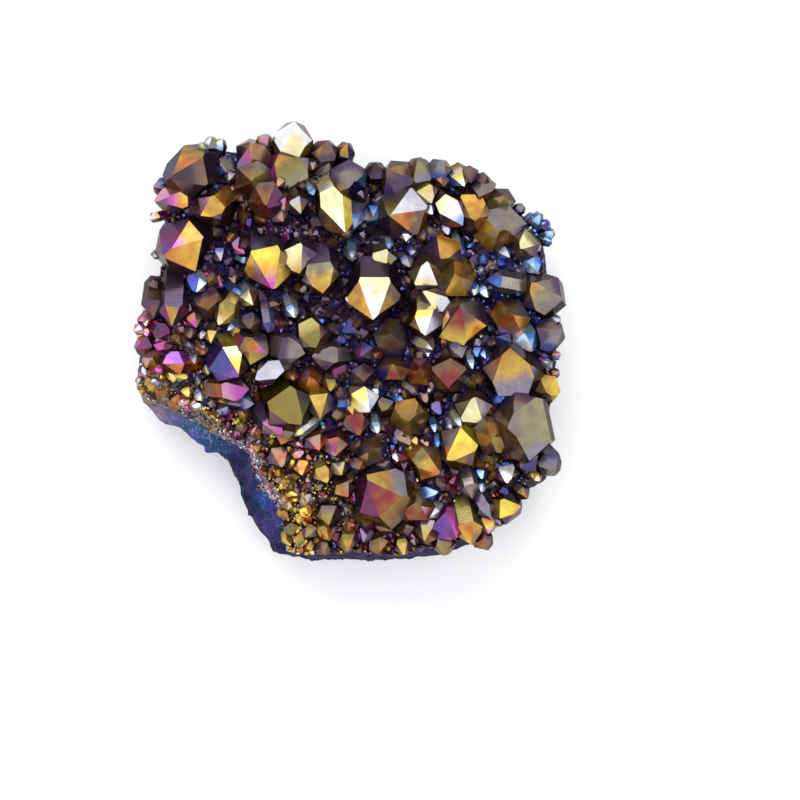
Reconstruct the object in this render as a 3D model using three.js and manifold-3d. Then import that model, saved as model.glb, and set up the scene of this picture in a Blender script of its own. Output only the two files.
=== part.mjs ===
// Titanium aura quartz cluster: a hand-sized plate of host rock, broken free of its cavity wall,
// with a druse of quartz crystals grown over its upper face. Rock and crystals are one stone.
//
// Frame: millimetres, +Z up. The specimen lies on the broken back of its rock, crystals up.
// X and Y are centred on the specimen, and Z = 0 is the surface that it rests on.

import * as THREE from 'three';
import { ConvexGeometry } from 'three/addons/geometries/ConvexGeometry.js';
import { mergeVertices } from 'three/addons/utils/BufferGeometryUtils.js';
import Module from 'manifold-3d';

const wasm = await Module();
wasm.setup();

// ---------------------------------------------------------------- driving dimensions

const middle = [-0.25, -0.4];     // where the hand-set outlines have the middle of the box

// The rock plate
const footLevel = 4.2;            // height at which the rock is widest
const chamferLevel = 1.4;         // height of the chipped ring between the base and the foot
const baseInset = 0.2;            // share of its reach that the flat base keeps back from the foot
const chamferInset = 0.07;        // the same for the chipped ring
const wallLevel = 0.55;           // share of the way up from the foot to the bed's edge
const wallBulge = 0.35;           // how far the wall has come in by then, as a share
const bedEdgeLevel = 10.8;        // height of the bed's edge, where the crystals begin
const bedCrown = 3.4;             // rise of the bed from its edge to its middle
const bedRings = [0.8, 0.5, 0.22]; // rings of the bed's surface, as shares of its reach
const moundsAtEdge = 0.5;         // share of a mound's height that is left at the bed's edge
const roughness = 0.45;           // how far a chip moves a point of the rock

// The crystals
const tipFaceAngle = 51.8;        // degrees from the long axis to the normal of a tip face
const lesserFacePush = 0.12;      // most that the three lesser tip faces stand off, in half widths
const widthSpread = 0.14;         // how much the six sides differ in their distance to the axis
const tipSpread = 0.1;            // how much the six tip faces differ
const riseAtNothing = 0.4;        // rise above the bed of a vanishing crystal
const riseOfWidth = 0.62;         // extra rise for each millimetre of width
const rootDepth = 1.6;            // how deep a crystal is rooted in the rock
const shortestEdge = 0.12;        // edges shorter than this are closed up

// Tolerances
const tiny = 1e-6;                // differences below this count as none
const weld = 1e-5;                // corners closer together than this are one

// ---------------------------------------------------------------- hand-set outlines and crystals

// Widest line of the rock, clockwise from the upper left
const rockFoot = [
  [-22.4, 21.8], [-19.3, 23.4], [-16, 24.4], [-12.5, 24.2], [-8, 25.6], [-4.5, 24.6], [-1, 23.4],
  [2.5, 21.6], [7, 21.3], [11, 21.8], [15, 21], [18.3, 18.9], [21.2, 16.6], [24.2, 14.8],
  [25, 11], [25, 7], [25.8, 3.5], [26.3, -2], [26, -6], [25.2, -10], [25.2, -15],
  [25.2, -17.6], [22.4, -19.3], [20, -22], [17.6, -24.6], [15.5, -26], [11, -27.4],
  [5, -28.3], [0, -27.9], [-5, -28.2], [-9.9, -27.3], [-11.8, -24.3], [-13.4, -22.3],
  [-14.2, -20], [-15, -17.3], [-16, -15.8], [-17.3, -14.4], [-18.7, -14.4], [-20, -13.1],
  [-22.6, -11.2], [-23.9, -10.8], [-25, -9.8], [-27, -7.6], [-27.6, -5.5], [-27.3, -2],
  [-27, 1.2], [-25.6, 4.5], [-24.8, 8], [-24.2, 11], [-24.2, 15], [-24.4, 19],
];

// Edge of the crystal bed; at the lower left it stands back and leaves the rock's side bare
const bedEdge = [
  [-21.6, 21], [-19, 22.4], [-16, 23.2], [-12.5, 23], [-8, 24.4], [-4.5, 23.4], [-1, 22.2],
  [2.5, 20.4], [7, 20.2], [11, 20.8], [14.5, 20], [17.4, 18], [20.2, 15.8], [23.2, 13.8],
  [24, 10.5], [24, 7], [24.6, 3.5], [25.2, -2], [25, -6], [24.2, -10], [24.2, -15], [24, -17],
  [21.6, -18.4], [19, -21], [16.8, -23.4], [14.8, -24.8], [11, -26], [5, -27], [0, -26.6],
  [-5, -26.9], [-8, -26.4], [-7.7, -23.6], [-8.2, -21.6], [-8.9, -20], [-9.8, -19], [-10.9, -18],
  [-11.4, -16.6], [-11.9, -15.2], [-12.6, -13.5], [-14.3, -12.6], [-15.8, -11.9],
  [-17.6, -9.8], [-18.9, -8.9], [-22.3, -7.9], [-25.6, -7.4], [-26.9, -6], [-26.5, -2],
  [-26, 1.5], [-24.6, 4.5], [-24, 8], [-23.4, 11], [-23.4, 15], [-23.4, 18.6],
];

// Mounds and hollows of the bed: [x, y, reach, rise]
const mounds = [
  [-21, 20, 4.5, 3.2], [-21.5, 11.5, 4.5, 3.4], [-22, 5, 3, 1.8], [-9.5, 17, 4, 2.2],
  [-14.9, 14.5, 2.8, -3], [-14.3, 8, 3, -2.4], [-1, 12, 3.5, -2.2], [-8, 5, 3, -1.8],
  [6, 4.6, 2.5, -1.8], [14, 12.8, 2.2, -1.6], [16, 4.8, 2.2, -1.2], [20, -9.5, 6, 2.4],
  [5, -17, 6, 1.2], [-19.5, -6.5, 4, -1.4], [-12, -15, 4, -1.2], [10.5, -9, 2.4, -1.4],
];

// Crystals: [tip x, tip y, width, leans to (degrees from +X), lean, turn, off axis, lift]
// turn: 0 puts a large tip face on the side away from the lean, 30 an edge.
// off axis: how far the tip stands off the crystal's axis, toward the lean, in half widths.
// lift: how much higher the tip stands than the width calls for.
const crystals = [
  // upper left corner
  [-22.5, 20.2, 6.4, 191, 30, 0, 0.05, 0.3],
  [-24.7, 17.5, 3.6, 184, 46, 0, 0.55, 0.6],
  [-18.7, 15.5, 4.8, 222, 34, 0, -0.2, 0.4],
  [-23.4, 10.5, 6.6, 208, 30, 15, 0, 0.9],
  [-25.4, 15.2, 1.3, 200, 48, 20, 0, 0.6],
  [-25.3, 10.8, 1.1, 180, 60, 0, 0, 0],
  [-18.8, 24.9, 1.7, 100, 38, 0, 0, 0],
  [-17.5, 25.6, 1.9, 80, 36, 20, 0, 0],
  [-16.3, 25.3, 1.6, 70, 38, 0, 0, 0],
  [-12.6, 24.8, 4.8, 95, 32, 30, 0, 0],
  [-10.4, 25.9, 2.0, 60, 42, 0, 0.13, 0],
  [-9.1, 23.3, 5.4, 118, 30, 0, 0, 0.2],
  [-6.9, 27.2, 5.0, 82, 42, 0, 0.1, 0],
  [-8.6, 26.6, 1.6, 120, 42, 0, 0, 0],
  [-3.0, 25.1, 3.6, 80, 36, 20, 0, 0],
  [-0.5, 24.7, 2.3, 68, 34, 10, 0, 0],
  [-12.4, 19.6, 4.6, 265, 10, 30, 0, 0.3],
  [-10.3, 16.4, 4.4, 265, 14, 10, 0, 0],
  [-6.3, 15.8, 3.0, 290, 34, 10, 0, 0],
  // top
  [-0.7, 13.4, 4.4, 294, 42, 0, 0.6, 0.9],
  [0.4, 19.9, 5.0, 340, 16, 20, 0, 0.2],
  [3.0, 22.4, 2.6, 90, 36, 0, 0, 0],
  [4.4, 21.4, 4.8, 140, 32, 0, 0, 0.1],
  [8.3, 22.7, 3.6, 100, 35, 0, 0.13, 0],
  [11.4, 22.7, 3.0, 75, 36, 10, 0.07, 0],
  [15.4, 21.7, 2.4, 62, 34, 0, 0, 0],
  [17.2, 20.7, 2.0, 40, 36, 10, 0, 0],
  [16.0, 18.1, 3.2, 230, 14, 0, 0.1, 0],
  [19.2, 18.2, 3.8, 60, 20, 30, 0, 0],
  [15.5, 14.9, 4.8, 270, 14, 0, 0, 0.5],
  [19.1, 13.8, 5.8, 285, 7, 0, 0, 0.4],
  [21.2, 11.5, 4.0, 222, 14, 0, 0, 0.3],
  [24.9, 14.9, 1.5, 40, 34, 20, 0, 0],
  [25.5, 13.7, 1.4, 20, 36, 0, 0, 0],
  [25.1, 12.4, 1.4, 350, 30, 20, 0, 0],
  [4.8, 15.5, 6.4, 180, 20, -18, 0, 0.6],
  [14.0, 14.4, 3.6, 312, 44, 0, 0.4, 0.4],
  [10.1, 17.2, 3.0, 300, 32, 0, 0.07, 0],
  // middle
  [-9.6, 6.4, 5.4, 275, 42, 9, 0.3, 0.8],
  [-6.4, 8.3, 5.0, 268, 32, 30, 0, 0.1],
  [-3.5, 5.8, 4.8, 278, 42, 0, 0.05, 0.3],
  [2.75, 2.5, 5.8, 270, 40, 0, 0.3, 0.9],
  [4.2, 8.7, 3.3, 276, 30, 12, 0, 0],
  [9.5, 9.8, 4.6, 90, 22, 0, 0, 0.3],
  [11.3, 10.1, 5.2, 249, 3, 0, 0, 0.4],
  [12.9, 8.4, 5.8, 80, 12, 10, 0, 0.1],
  [9.0, 6.1, 2.9, 143, 42, 0, 0.45, 0.3],
  [9.25, 0.6, 4.4, 272, 36, 0, 0, 0.4],
  [23.4, 8.5, 2.2, 300, 46, 0, 0.26, 0],
  [22.6, 7.2, 5.2, 130, 24, 0, 0.1, 0],
  [19.9, 3.4, 4.8, 90, 8, 0, 0, 0.2],
  [13.6, 4.5, 6.0, 100, 22, 30, 0, 0.4],
  [5.0, 0.8, 4.4, 60, 8, 20, 0, 0],
  // left
  [-22.4, 1.8, 3.2, 268, 60, 0, 0, 0.9],
  [-24.8, 2.9, 2.7, 265, 46, 0, 0, 0.5],
  [-17.9, 3.7, 4.2, 270, 14, 10, 0, 0],
  [-16.6, 1.9, 3.2, 242, 42, 0, 0.2, 0.4],
  [-12.6, 1.4, 3.0, 270, 16, 20, 0, 0],
  [-25.0, -2.2, 2.3, 90, 5, 0, 0, 0],
  [-27.0, 2.5, 1.3, 190, 40, 0, 0, 0],
  [-27.3, 1.2, 1.5, 200, 38, 20, 0, 0],
  [-27.1, -1.0, 2.2, 200, 34, 10, 0, 0],
  [-23.6, -2.9, 3.0, 182, 44, 30, 0, 0.3],
  [-14.0, -4.6, 5.0, 301, 36, 30, 0, 0.5],
  [-10.4, -1.7, 3.8, 335, 40, 0, 0.15, 0.2],
  [-12.8, -6.1, 3.4, 355, 45, 14, 0.13, 0],
  // lower middle
  [-12.0, -4.9, 3.2, 205, 42, 0, 0.4, 0.5],
  [-5.75, -1.7, 3.4, 345, 42, 0, 0.2, 0.2],
  [-4.35, -1.0, 4.6, 296, 22, 0, 0, 0.4],
  [-4.9, -2.1, 3.2, 184, 44, 0, 0.35, 0.1],
  [-5.2, -4.6, 3.2, 100, 10, 0, 0, 0],
  [-6.2, -10.6, 6.0, 305, 34, 0, 0, 0.4],
  [-3.8, -9.8, 3.3, 275, 40, 0, 0.26, 0.1],
  [-8.6, -11.9, 3.0, 307, 52, 0, 0.1, 0.5],
  [2.0, -8.9, 3.4, 285, 6, 0, 0.3, 0.3],
  [1.6, -5.2, 3.2, 280, 16, 20, 0, 0],
  [5.2, -3.0, 3.6, 90, 14, 0, 0, 0.2],
  [8.6, -3.6, 3.2, 90, 6, 0, 0, 0],
  [12.2, -6.1, 4.2, 268, 26, 30, 0, 0.2],
  [7.3, -10.2, 4.8, 280, 13, 0, 0, 0.3],
  // right
  [22.7, -1.4, 2.9, 300, 45, 24, 0.07, 0.2],
  [26.5, 1.3, 3.9, 15, 35, 0, 0.13, 0],
  [26.4, 2.6, 1.2, 0, 40, 0, 0, 0],
  [19.8, -1.0, 7.2, 92, 34, 0, 0, 0.3],
  [15.5, -7.2, 4.2, 85, 20, 0, 0, 0.3],
  [24.6, -6.6, 3.8, 300, 12, 20, 0, 0],
  [19.5, -10.8, 7.6, 192, 16, 0, 0, 0.2],
  [17.6, -12.2, 4.2, 260, 6, 0, 0, 1.2],
  [25.7, -16.6, 3.2, 312, 36, 10, 0, 0],
  [21.2, -15.9, 3.4, 230, 30, 0, 0, 0],
  [19.6, -17.9, 3.4, 280, 12, 0, 0.1, 0.2],
  [22.2, -19.9, 1.7, 310, 50, 0, 0, 0],
  [21.3, -20.9, 3.8, 358, 40, 0, 0, 0.2],
  // bottom
  [-4.0, -13.8, 2.7, 290, 30, 0, 0, 0],
  [-1.9, -14.5, 3.0, 267, 38, 20, 0, 0.1],
  [0.9, -11.9, 2.9, 280, 42, 0, 0.2, 0],
  [2.6, -13.5, 3.4, 90, 8, 20, 0, 0],
  [-8.8, -15.9, 3.0, 280, 30, 0, 0, 0],
  [12.0, -15.0, 5.0, 224, 34, 0, 0, 0.4],
  [11.0, -16.7, 4.0, 325, 44, 0, 0.15, 0],
  [2.0, -16.8, 6.6, 133, 34, 0, 0, 0.4],
  [8.1, -20.3, 4.0, 90, 10, 0, 0, 0.4],
  [13.2, -24.8, 4.8, 300, 36, 20, 0, 0],
  [15.0, -25.6, 3.3, 282, 58, 0, 0, 0.6],
  [17.2, -24.4, 2.3, 275, 45, 0, 0.1, 0],
  [18.9, -23.4, 1.9, 300, 45, 0, 0, 0],
  [17.1, -26.4, 2.4, 290, 48, 20, 0, 0],
  [-2.8, -23.2, 3.2, 270, 30, 0, 0.13, 0],
  [1.8, -23.4, 3.6, 250, 28, 20, 0, 0],
  [5.0, -24.0, 3.0, 300, 34, 0, 0.2, 0],
  [9.2, -25.2, 3.6, 260, 34, 0, 0.13, 0],
  [-0.6, -26.6, 2.6, 270, 42, 0, 0, 0],
  [11.9, -27.0, 2.6, 280, 42, 0, 0, 0],
];

// ---------------------------------------------------------------- helpers

const radians = THREE.MathUtils.degToRad;

// A repeatable number from 0 to 1 for any two whole numbers
function chance(i, k) {
  const wave = Math.sin(i * 12.9898 + k * 78.233) * 43758.5453;
  return wave - Math.floor(wave);
}

// How far a closed outline reaches from the middle in one direction
function reach(outline, angle) {
  const [dx, dy] = [Math.cos(angle), Math.sin(angle)];
  let farthest = 0;
  for (let i = 0; i < outline.length; i++) {
    const [ax, ay] = outline[i];
    const [bx, by] = outline[(i + 1) % outline.length];
    const [ex, ey] = [bx - ax, by - ay];
    const cross = dx * ey - dy * ex;
    if (Math.abs(cross) < tiny) continue;
    const along = (ax * ey - ay * ex) / cross;
    const share = (ax * dy - ay * dx) / cross;
    if (along > 0 && share >= -tiny && share <= 1 + tiny) farthest = Math.max(farthest, along);
  }
  return farthest;
}

// Height of the crystal bed at a point
function bedHeight(x, y) {
  const share = Math.min(1, Math.hypot(x, y) / reach(bedEdge, Math.atan2(y, x)));
  let height = bedEdgeLevel + bedCrown * (1 - share * share);
  for (const [mx, my, size, rise] of mounds) {
    const away = Math.hypot(x - mx, y - my) / size;
    height += rise * Math.exp(-away * away) * (1 - (1 - moundsAtEdge) * share ** 6);
  }
  return height;
}

function toManifold(geometry) {
  const bare = new THREE.BufferGeometry();
  bare.setAttribute('position', geometry.attributes.position.clone());
  if (geometry.index) bare.setIndex(geometry.index.clone());
  const merged = mergeVertices(bare, weld);
  return new wasm.Manifold(new wasm.Mesh({
    numProp: 3,
    vertProperties: new Float32Array(merged.attributes.position.array),
    triVerts: new Uint32Array(merged.index.array),
  }));
}

// ---------------------------------------------------------------- the rock

// A closed solid of rings, each with as many points as the foot outline
function makeRock() {
  const angles = rockFoot.map(([x, y]) => Math.atan2(y, x));
  const count = angles.length;
  const points = [];
  const ring = (place) => {
    angles.forEach((angle, i) => points.push(...place(angle, i)));
  };
  const chip = (i, k) => roughness * (2 * chance(i, k) - 1);
  const level = (inset, height, k, rough) => ring((angle, i) => {
    const r = Math.hypot(...rockFoot[i]) * (1 - inset) + rough * chip(i, k);
    return [r * Math.cos(angle), r * Math.sin(angle), height + rough * chip(i, k + 1)];
  });

  points.push(0, 0, 0);
  level(baseInset, 0, 0, 0);
  level(chamferInset, chamferLevel, 2, 1);
  level(0, footLevel, 4, 0);
  ring((angle, i) => {
    const foot = Math.hypot(...rockFoot[i]);
    const r = foot + (reach(bedEdge, angle) - foot) * wallBulge + chip(i, 6);
    const height = footLevel + (bedEdgeLevel - footLevel) * wallLevel + chip(i, 7);
    return [r * Math.cos(angle), r * Math.sin(angle), height];
  });
  for (const share of [1, ...bedRings]) {
    ring((angle) => {
      const r = reach(bedEdge, angle) * share;
      const [x, y] = [r * Math.cos(angle), r * Math.sin(angle)];
      return [x, y, bedHeight(x, y)];
    });
  }
  points.push(0, 0, bedHeight(0, 0));

  const faces = [];
  const rings = 4 + 1 + bedRings.length;
  const at = (ringIndex, i) => 1 + ringIndex * count + (i % count);
  for (let i = 0; i < count; i++) {
    faces.push(0, at(0, i), at(0, i + 1));
    for (let k = 0; k + 1 < rings; k++) {
      faces.push(at(k, i), at(k + 1, i), at(k, i + 1));
      faces.push(at(k, i + 1), at(k + 1, i), at(k + 1, i + 1));
    }
    faces.push(at(rings - 1, i), 1 + rings * count, at(rings - 1, i + 1));
  }
  const geometry = new THREE.BufferGeometry();
  geometry.setAttribute('position', new THREE.Float32BufferAttribute(points, 3));
  geometry.setIndex(faces);
  return toManifold(geometry);
}

// ---------------------------------------------------------------- the crystals

// Corners of the space that lies behind every one of a set of planes
function cornersOf(planes) {
  const corners = [];
  const [ab, bc, ca] = [new THREE.Vector3(), new THREE.Vector3(), new THREE.Vector3()];
  for (let i = 0; i < planes.length; i++) {
    for (let j = i + 1; j < planes.length; j++) {
      for (let k = j + 1; k < planes.length; k++) {
        const [a, b, c] = [planes[i], planes[j], planes[k]];
        const volume = a.normal.dot(bc.crossVectors(b.normal, c.normal));
        if (Math.abs(volume) < tiny) continue;
        ca.crossVectors(c.normal, a.normal);
        ab.crossVectors(a.normal, b.normal);
        const corner = bc.clone().multiplyScalar(a.offset);
        corner.addScaledVector(ca, b.offset).addScaledVector(ab, c.offset).divideScalar(volume);
        if (planes.every(({ normal, offset }) => normal.dot(corner) <= offset + tiny)) {
          corners.push(corner);
        }
      }
    }
  }
  return corners;
}

// A six-sided quartz crystal, closed by three larger and three lesser tip faces.
// Its summit is placed at the tip, and its axis leans from the vertical.
function makeCrystal([tipX, tipY, width, leansTo, lean, turn, offAxis], tipZ, length) {
  const key = Math.round(10 * tipX) + 1000 * Math.round(10 * tipY);
  const half = width / 2;
  const slope = radians(tipFaceAngle);
  const planes = [{ normal: new THREE.Vector3(0, 0, -1), offset: length }];
  for (let k = 0; k < 6; k++) {
    const angle = radians(60 * k + turn);
    const [cos, sin] = [Math.cos(angle), Math.sin(angle)];
    const side = 1 + widthSpread * (2 * chance(key, k) - 1);
    planes.push({ normal: new THREE.Vector3(cos, sin, 0), offset: half * side });
    const lesser = k % 2 === 0 ? lesserFacePush * chance(key, 12) : 0;
    const spread = tipSpread * (2 * chance(key, k + 6) - 1);
    const aside = offAxis * Math.sin(slope) * cos;
    planes.push({
      normal: new THREE.Vector3(Math.sin(slope) * cos, Math.sin(slope) * sin, Math.cos(slope)),
      offset: half * (lesser + spread + aside),
    });
  }
  const corners = cornersOf(planes);
  const summit = corners.reduce((best, corner) => (corner.z > best.z ? corner : best)).clone();
  const toPlace = new THREE.Matrix4().makeTranslation(tipX, tipY, tipZ)
    .multiply(new THREE.Matrix4().makeRotationZ(radians(leansTo)))
    .multiply(new THREE.Matrix4().makeRotationY(radians(lean)))
    .multiply(new THREE.Matrix4().makeTranslation(-summit.x, -summit.y, -summit.z));
  return toManifold(new ConvexGeometry(corners.map((corner) => corner.applyMatrix4(toPlace))));
}

function makeCrystals() {
  return crystals.map((crystal) => {
    const [x, y, width, , lean, , , lift] = crystal;
    const rise = riseAtNothing + riseOfWidth * width + lift;
    const length = (rise + rootDepth) / Math.cos(radians(lean));
    return makeCrystal(crystal, bedHeight(x, y) + rise, length);
  });
}

// ---------------------------------------------------------------- the specimen

// The outer shell is the specimen; gaps that the crystals close in between them stay solid
const grown = wasm.Manifold.union([makeRock(), ...makeCrystals()]).simplify(shortestEdge);
const stone = grown.decompose().reduce((a, b) => (b.volume() > a.volume() ? b : a));
const { vertProperties, triVerts } = stone.getMesh();
const geometry = new THREE.BufferGeometry();
geometry.setAttribute('position', new THREE.BufferAttribute(new Float32Array(vertProperties), 3));
geometry.setIndex(new THREE.BufferAttribute(new Uint32Array(triVerts), 1));

const coatedQuartz = new THREE.MeshStandardMaterial({
  color: 0x8a6a34, metalness: 0.9, roughness: 0.22, flatShading: true,
});
const quartzCluster = new THREE.Mesh(geometry, coatedQuartz);
quartzCluster.name = 'quartz_cluster';
quartzCluster.position.set(-middle[0], -middle[1], 0);

const specimen = new THREE.Group();
specimen.add(quartzCluster);

export default specimen;
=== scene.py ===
# %% [markdown]
# # A plate of titanium aura quartz
#
# Aura quartz is natural quartz whose crystals have been coated, in a vacuum, with a film of
# titanium a few hundred atoms thick. The film is a metal mirror, and its thickness decides its
# colour: amber, orange, magenta, violet, blue, silver and yellow follow each other as it grows.
# This lesson builds such a plate in millimetres, from the rock up, and then lights it.

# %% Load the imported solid
import itertools
import math

import bpy
import numpy as np
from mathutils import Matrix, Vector, noise


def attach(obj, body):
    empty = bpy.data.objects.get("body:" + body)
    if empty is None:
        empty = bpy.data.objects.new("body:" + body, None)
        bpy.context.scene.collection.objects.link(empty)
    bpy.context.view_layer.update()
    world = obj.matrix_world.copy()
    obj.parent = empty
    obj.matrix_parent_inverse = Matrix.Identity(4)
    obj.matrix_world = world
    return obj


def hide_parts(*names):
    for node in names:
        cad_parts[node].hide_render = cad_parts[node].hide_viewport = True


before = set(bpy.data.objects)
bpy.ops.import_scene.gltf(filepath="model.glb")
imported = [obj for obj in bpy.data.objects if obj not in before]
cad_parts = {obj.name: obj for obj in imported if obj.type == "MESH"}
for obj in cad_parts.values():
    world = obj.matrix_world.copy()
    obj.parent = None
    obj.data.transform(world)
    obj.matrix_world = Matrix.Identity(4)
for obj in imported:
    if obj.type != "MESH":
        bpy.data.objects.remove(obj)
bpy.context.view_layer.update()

# %% [markdown]
# The whole lesson counts in millimetres. Blender counts in metres, so one function turns a list
# of points into metres and moves it by the shift that centres the plate on the Z axis. Two
# very small numbers are kept at hand for the sums below.

# %% Millimetres to metres
MM = 0.001
MIDDLE = np.array([-0.25, -0.4, 0.0])
TINY = 1e-9         # stands in for zero where a sum divides by it
ROUNDING = 1e-6     # a difference that is no more than rounding


def metres(points):
    return (np.asarray(points, float) - MIDDLE) * MM


print("a millimetre from the middle, in metres:", metres(MIDDLE + [1, 0, 0]).tolist())

# %% [markdown]
# Materials are made of nodes. One small function adds a node, sets its inputs and links them:
# a value that is another node's output becomes a link, and anything else is typed in.
# Colours are written as the hex values a paint program shows, and turned to linear light here.
# A noise is sized by how wide its blotches are on the real thing, in millimetres.

# %% Helpers for materials
def srgb(code):
    parts = [int(code[i:i + 2], 16) / 255 for i in (1, 3, 5)]
    return tuple(p / 12.92 if p <= 0.04045 else ((p + 0.055) / 1.055) ** 2.4 for p in parts)


def add(material, kind, settings=None, **inputs):
    """Adds a node. An input is named with _ for a space, or by i and its number where names repeat."""
    tree = material.node_tree
    made = tree.nodes.new(kind)
    for name, value in (settings or {}).items():
        setattr(made, name, value)
    for name, value in inputs.items():
        socket = made.inputs[int(name[1:])] if name[1:].isdigit() else made.inputs[name.replace("_", " ")]
        if isinstance(value, bpy.types.NodeSocket):
            tree.links.new(value, socket)
        else:
            socket.default_value = value
    return made


def new_material(name):
    material = bpy.data.materials.new(name)
    material.use_nodes = True
    material.node_tree.nodes.clear()
    return material


def scale_for(width):
    """Scale of a noise whose blotches are this wide, in millimetres."""
    return 1 / (width * MM)


print("mid grey in linear light:", round(srgb("#808080")[0], 3))

# %% [markdown]
# ## The rock under the crystals
#
# The plate has broken away from the wall of a cavity. Seen from above its outline is irregular,
# so it is drawn: one line where the rock is widest, and one where the crystals begin.
# At the lower left the second line stands back from the first and leaves the rock's side bare.

# %% The rock's outlines
FOOT_LEVEL, CHAMFER_LEVEL, BED_LEVEL, BED_CROWN = 4.2, 1.4, 10.8, 3.4

ROCK_FOOT = [
    (-22.4, 21.8), (-19.3, 23.4), (-16, 24.4), (-12.5, 24.2), (-8, 25.6), (-4.5, 24.6), (-1, 23.4),
    (2.5, 21.6), (7, 21.3), (11, 21.8), (15, 21), (18.3, 18.9), (21.2, 16.6), (24.2, 14.8),
    (25, 11), (25, 7), (25.8, 3.5), (26.3, -2), (26, -6), (25.2, -10), (25.2, -15),
    (25.2, -17.6), (22.4, -19.3), (20, -22), (17.6, -24.6), (15.5, -26), (11, -27.4),
    (5, -28.3), (0, -27.9), (-5, -28.2), (-9.9, -27.3), (-11.8, -24.3), (-13.4, -22.3),
    (-14.2, -20), (-15, -17.3), (-16, -15.8), (-17.3, -14.4), (-18.7, -14.4), (-20, -13.1),
    (-22.6, -11.2), (-23.9, -10.8), (-25, -9.8), (-27, -7.6), (-27.6, -5.5), (-27.3, -2),
    (-27, 1.2), (-25.6, 4.5), (-24.8, 8), (-24.2, 11), (-24.2, 15), (-24.4, 19),
]
BED_EDGE = [
    (-21.6, 21), (-19, 22.4), (-16, 23.2), (-12.5, 23), (-8, 24.4), (-4.5, 23.4), (-1, 22.2),
    (2.5, 20.4), (7, 20.2), (11, 20.8), (14.5, 20), (17.4, 18), (20.2, 15.8), (23.2, 13.8),
    (24, 10.5), (24, 7), (24.6, 3.5), (25.2, -2), (25, -6), (24.2, -10), (24.2, -15), (24, -17),
    (21.6, -18.4), (19, -21), (16.8, -23.4), (14.8, -24.8), (11, -26), (5, -27), (0, -26.6),
    (-5, -26.9), (-8, -26.4), (-7.7, -23.6), (-8.2, -21.6), (-8.9, -20), (-9.8, -19), (-10.9, -18),
    (-11.4, -16.6), (-11.9, -15.2), (-12.6, -13.5), (-14.3, -12.6), (-15.8, -11.9),
    (-17.6, -9.8), (-18.9, -8.9), (-22.3, -7.9), (-25.6, -7.4), (-26.9, -6), (-26.5, -2),
    (-26, 1.5), (-24.6, 4.5), (-24, 8), (-23.4, 11), (-23.4, 15), (-23.4, 18.6),
]
# Mounds and hollows of the bed: x, y, reach, rise
MOUNDS = [
    (-21, 20, 4.5, 3.2), (-21.5, 11.5, 4.5, 3.4), (-22, 5, 3, 1.8), (-9.5, 17, 4, 2.2),
    (-14.9, 14.5, 2.8, -3), (-14.3, 8, 3, -2.4), (-1, 12, 3.5, -2.2), (-8, 5, 3, -1.8),
    (6, 4.6, 2.5, -1.8), (14, 12.8, 2.2, -1.6), (16, 4.8, 2.2, -1.2), (20, -9.5, 6, 2.4),
    (5, -17, 6, 1.2), (-19.5, -6.5, 4, -1.4), (-12, -15, 4, -1.2), (10.5, -9, 2.4, -1.4),
]
LOST_AT_EDGE = 0.5     # share of a mound's rise that is lost at the edge of the bed


def reach(outline, angles):
    """How far an outline reaches from the middle in each of a list of directions."""
    a = np.array(outline, float)
    b = np.roll(a, -1, axis=0)
    edge = b - a
    dx, dy = np.cos(angles)[:, None], np.sin(angles)[:, None]
    cross = dx * edge[:, 1] - dy * edge[:, 0]
    cross[np.abs(cross) < TINY] = TINY
    along = (a[:, 0] * edge[:, 1] - a[:, 1] * edge[:, 0]) / cross
    share = (a[:, 0] * dy - a[:, 1] * dx) / cross
    hit = (along > 0) & (share >= -ROUNDING) & (share <= 1 + ROUNDING)
    return np.where(hit, along, 0).max(axis=1)


def bed_height(x, y):
    """Height of the bed above the table, under a place or a list of places."""
    x, y = np.atleast_1d(x).astype(float), np.atleast_1d(y).astype(float)
    share = np.minimum(1, np.hypot(x, y) / reach(BED_EDGE, np.arctan2(y, x)))
    height = BED_LEVEL + BED_CROWN * (1 - share * share)
    for mx, my, size, rise in MOUNDS:
        away = np.hypot(x - mx, y - my) / size
        height = height + rise * np.exp(-away * away) * (1 - LOST_AT_EDGE * share ** 6)
    return height


def wall_bulge(down):
    """Share of the way out from the bed's edge to the widest line, at a share of the way down."""
    return math.sin(down * math.pi / 2) ** 1.2


print("bed height in the middle, mm:", round(float(bed_height(0, 0)[0]), 1))

# %% [markdown]
# ## One quartz crystal
#
# Quartz always grows to the same plan: a six-sided prism closed by six sloping faces, three of
# them usually larger. Their slope is a constant of the mineral, 51.8 degrees. So a crystal is
# best made the way nature makes it, as the space behind a set of planes. Its corners are the
# points where three planes meet and that no other plane cuts off.

# %% The planes and corners of a crystal
TIP_SLOPE = math.radians(51.8)
LESSER_PUSH, WIDTH_SPREAD, TIP_SPREAD = 0.12, 0.14, 0.1     # in half widths, how unequal the faces are
LESSER_DRAW, LIGHT_DRAW = 12, 20     # the first draws of a crystal are for its twelve faces
STIR = (12.9898, 78.233, 43758.5453)     # others would do, but would grow other crystals
WELD = 1e-5     # corners that are nearer than this are one


def chance(key, draw):
    """A number from 0 to 1 that always comes out the same for the same crystal and draw."""
    wave = math.sin(key * STIR[0] + draw * STIR[1]) * STIR[2]
    return wave - math.floor(wave)


def turned(angle):
    """Matrix that turns about the upright axis."""
    c, s = math.cos(angle), math.sin(angle)
    return np.array([[c, -s, 0], [s, c, 0], [0, 0, 1]])


def leant(angle):
    """Matrix that leans what stands upright over toward x."""
    c, s = math.cos(angle), math.sin(angle)
    return np.array([[c, 0, s], [0, 1, 0], [-s, 0, c]])


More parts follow.
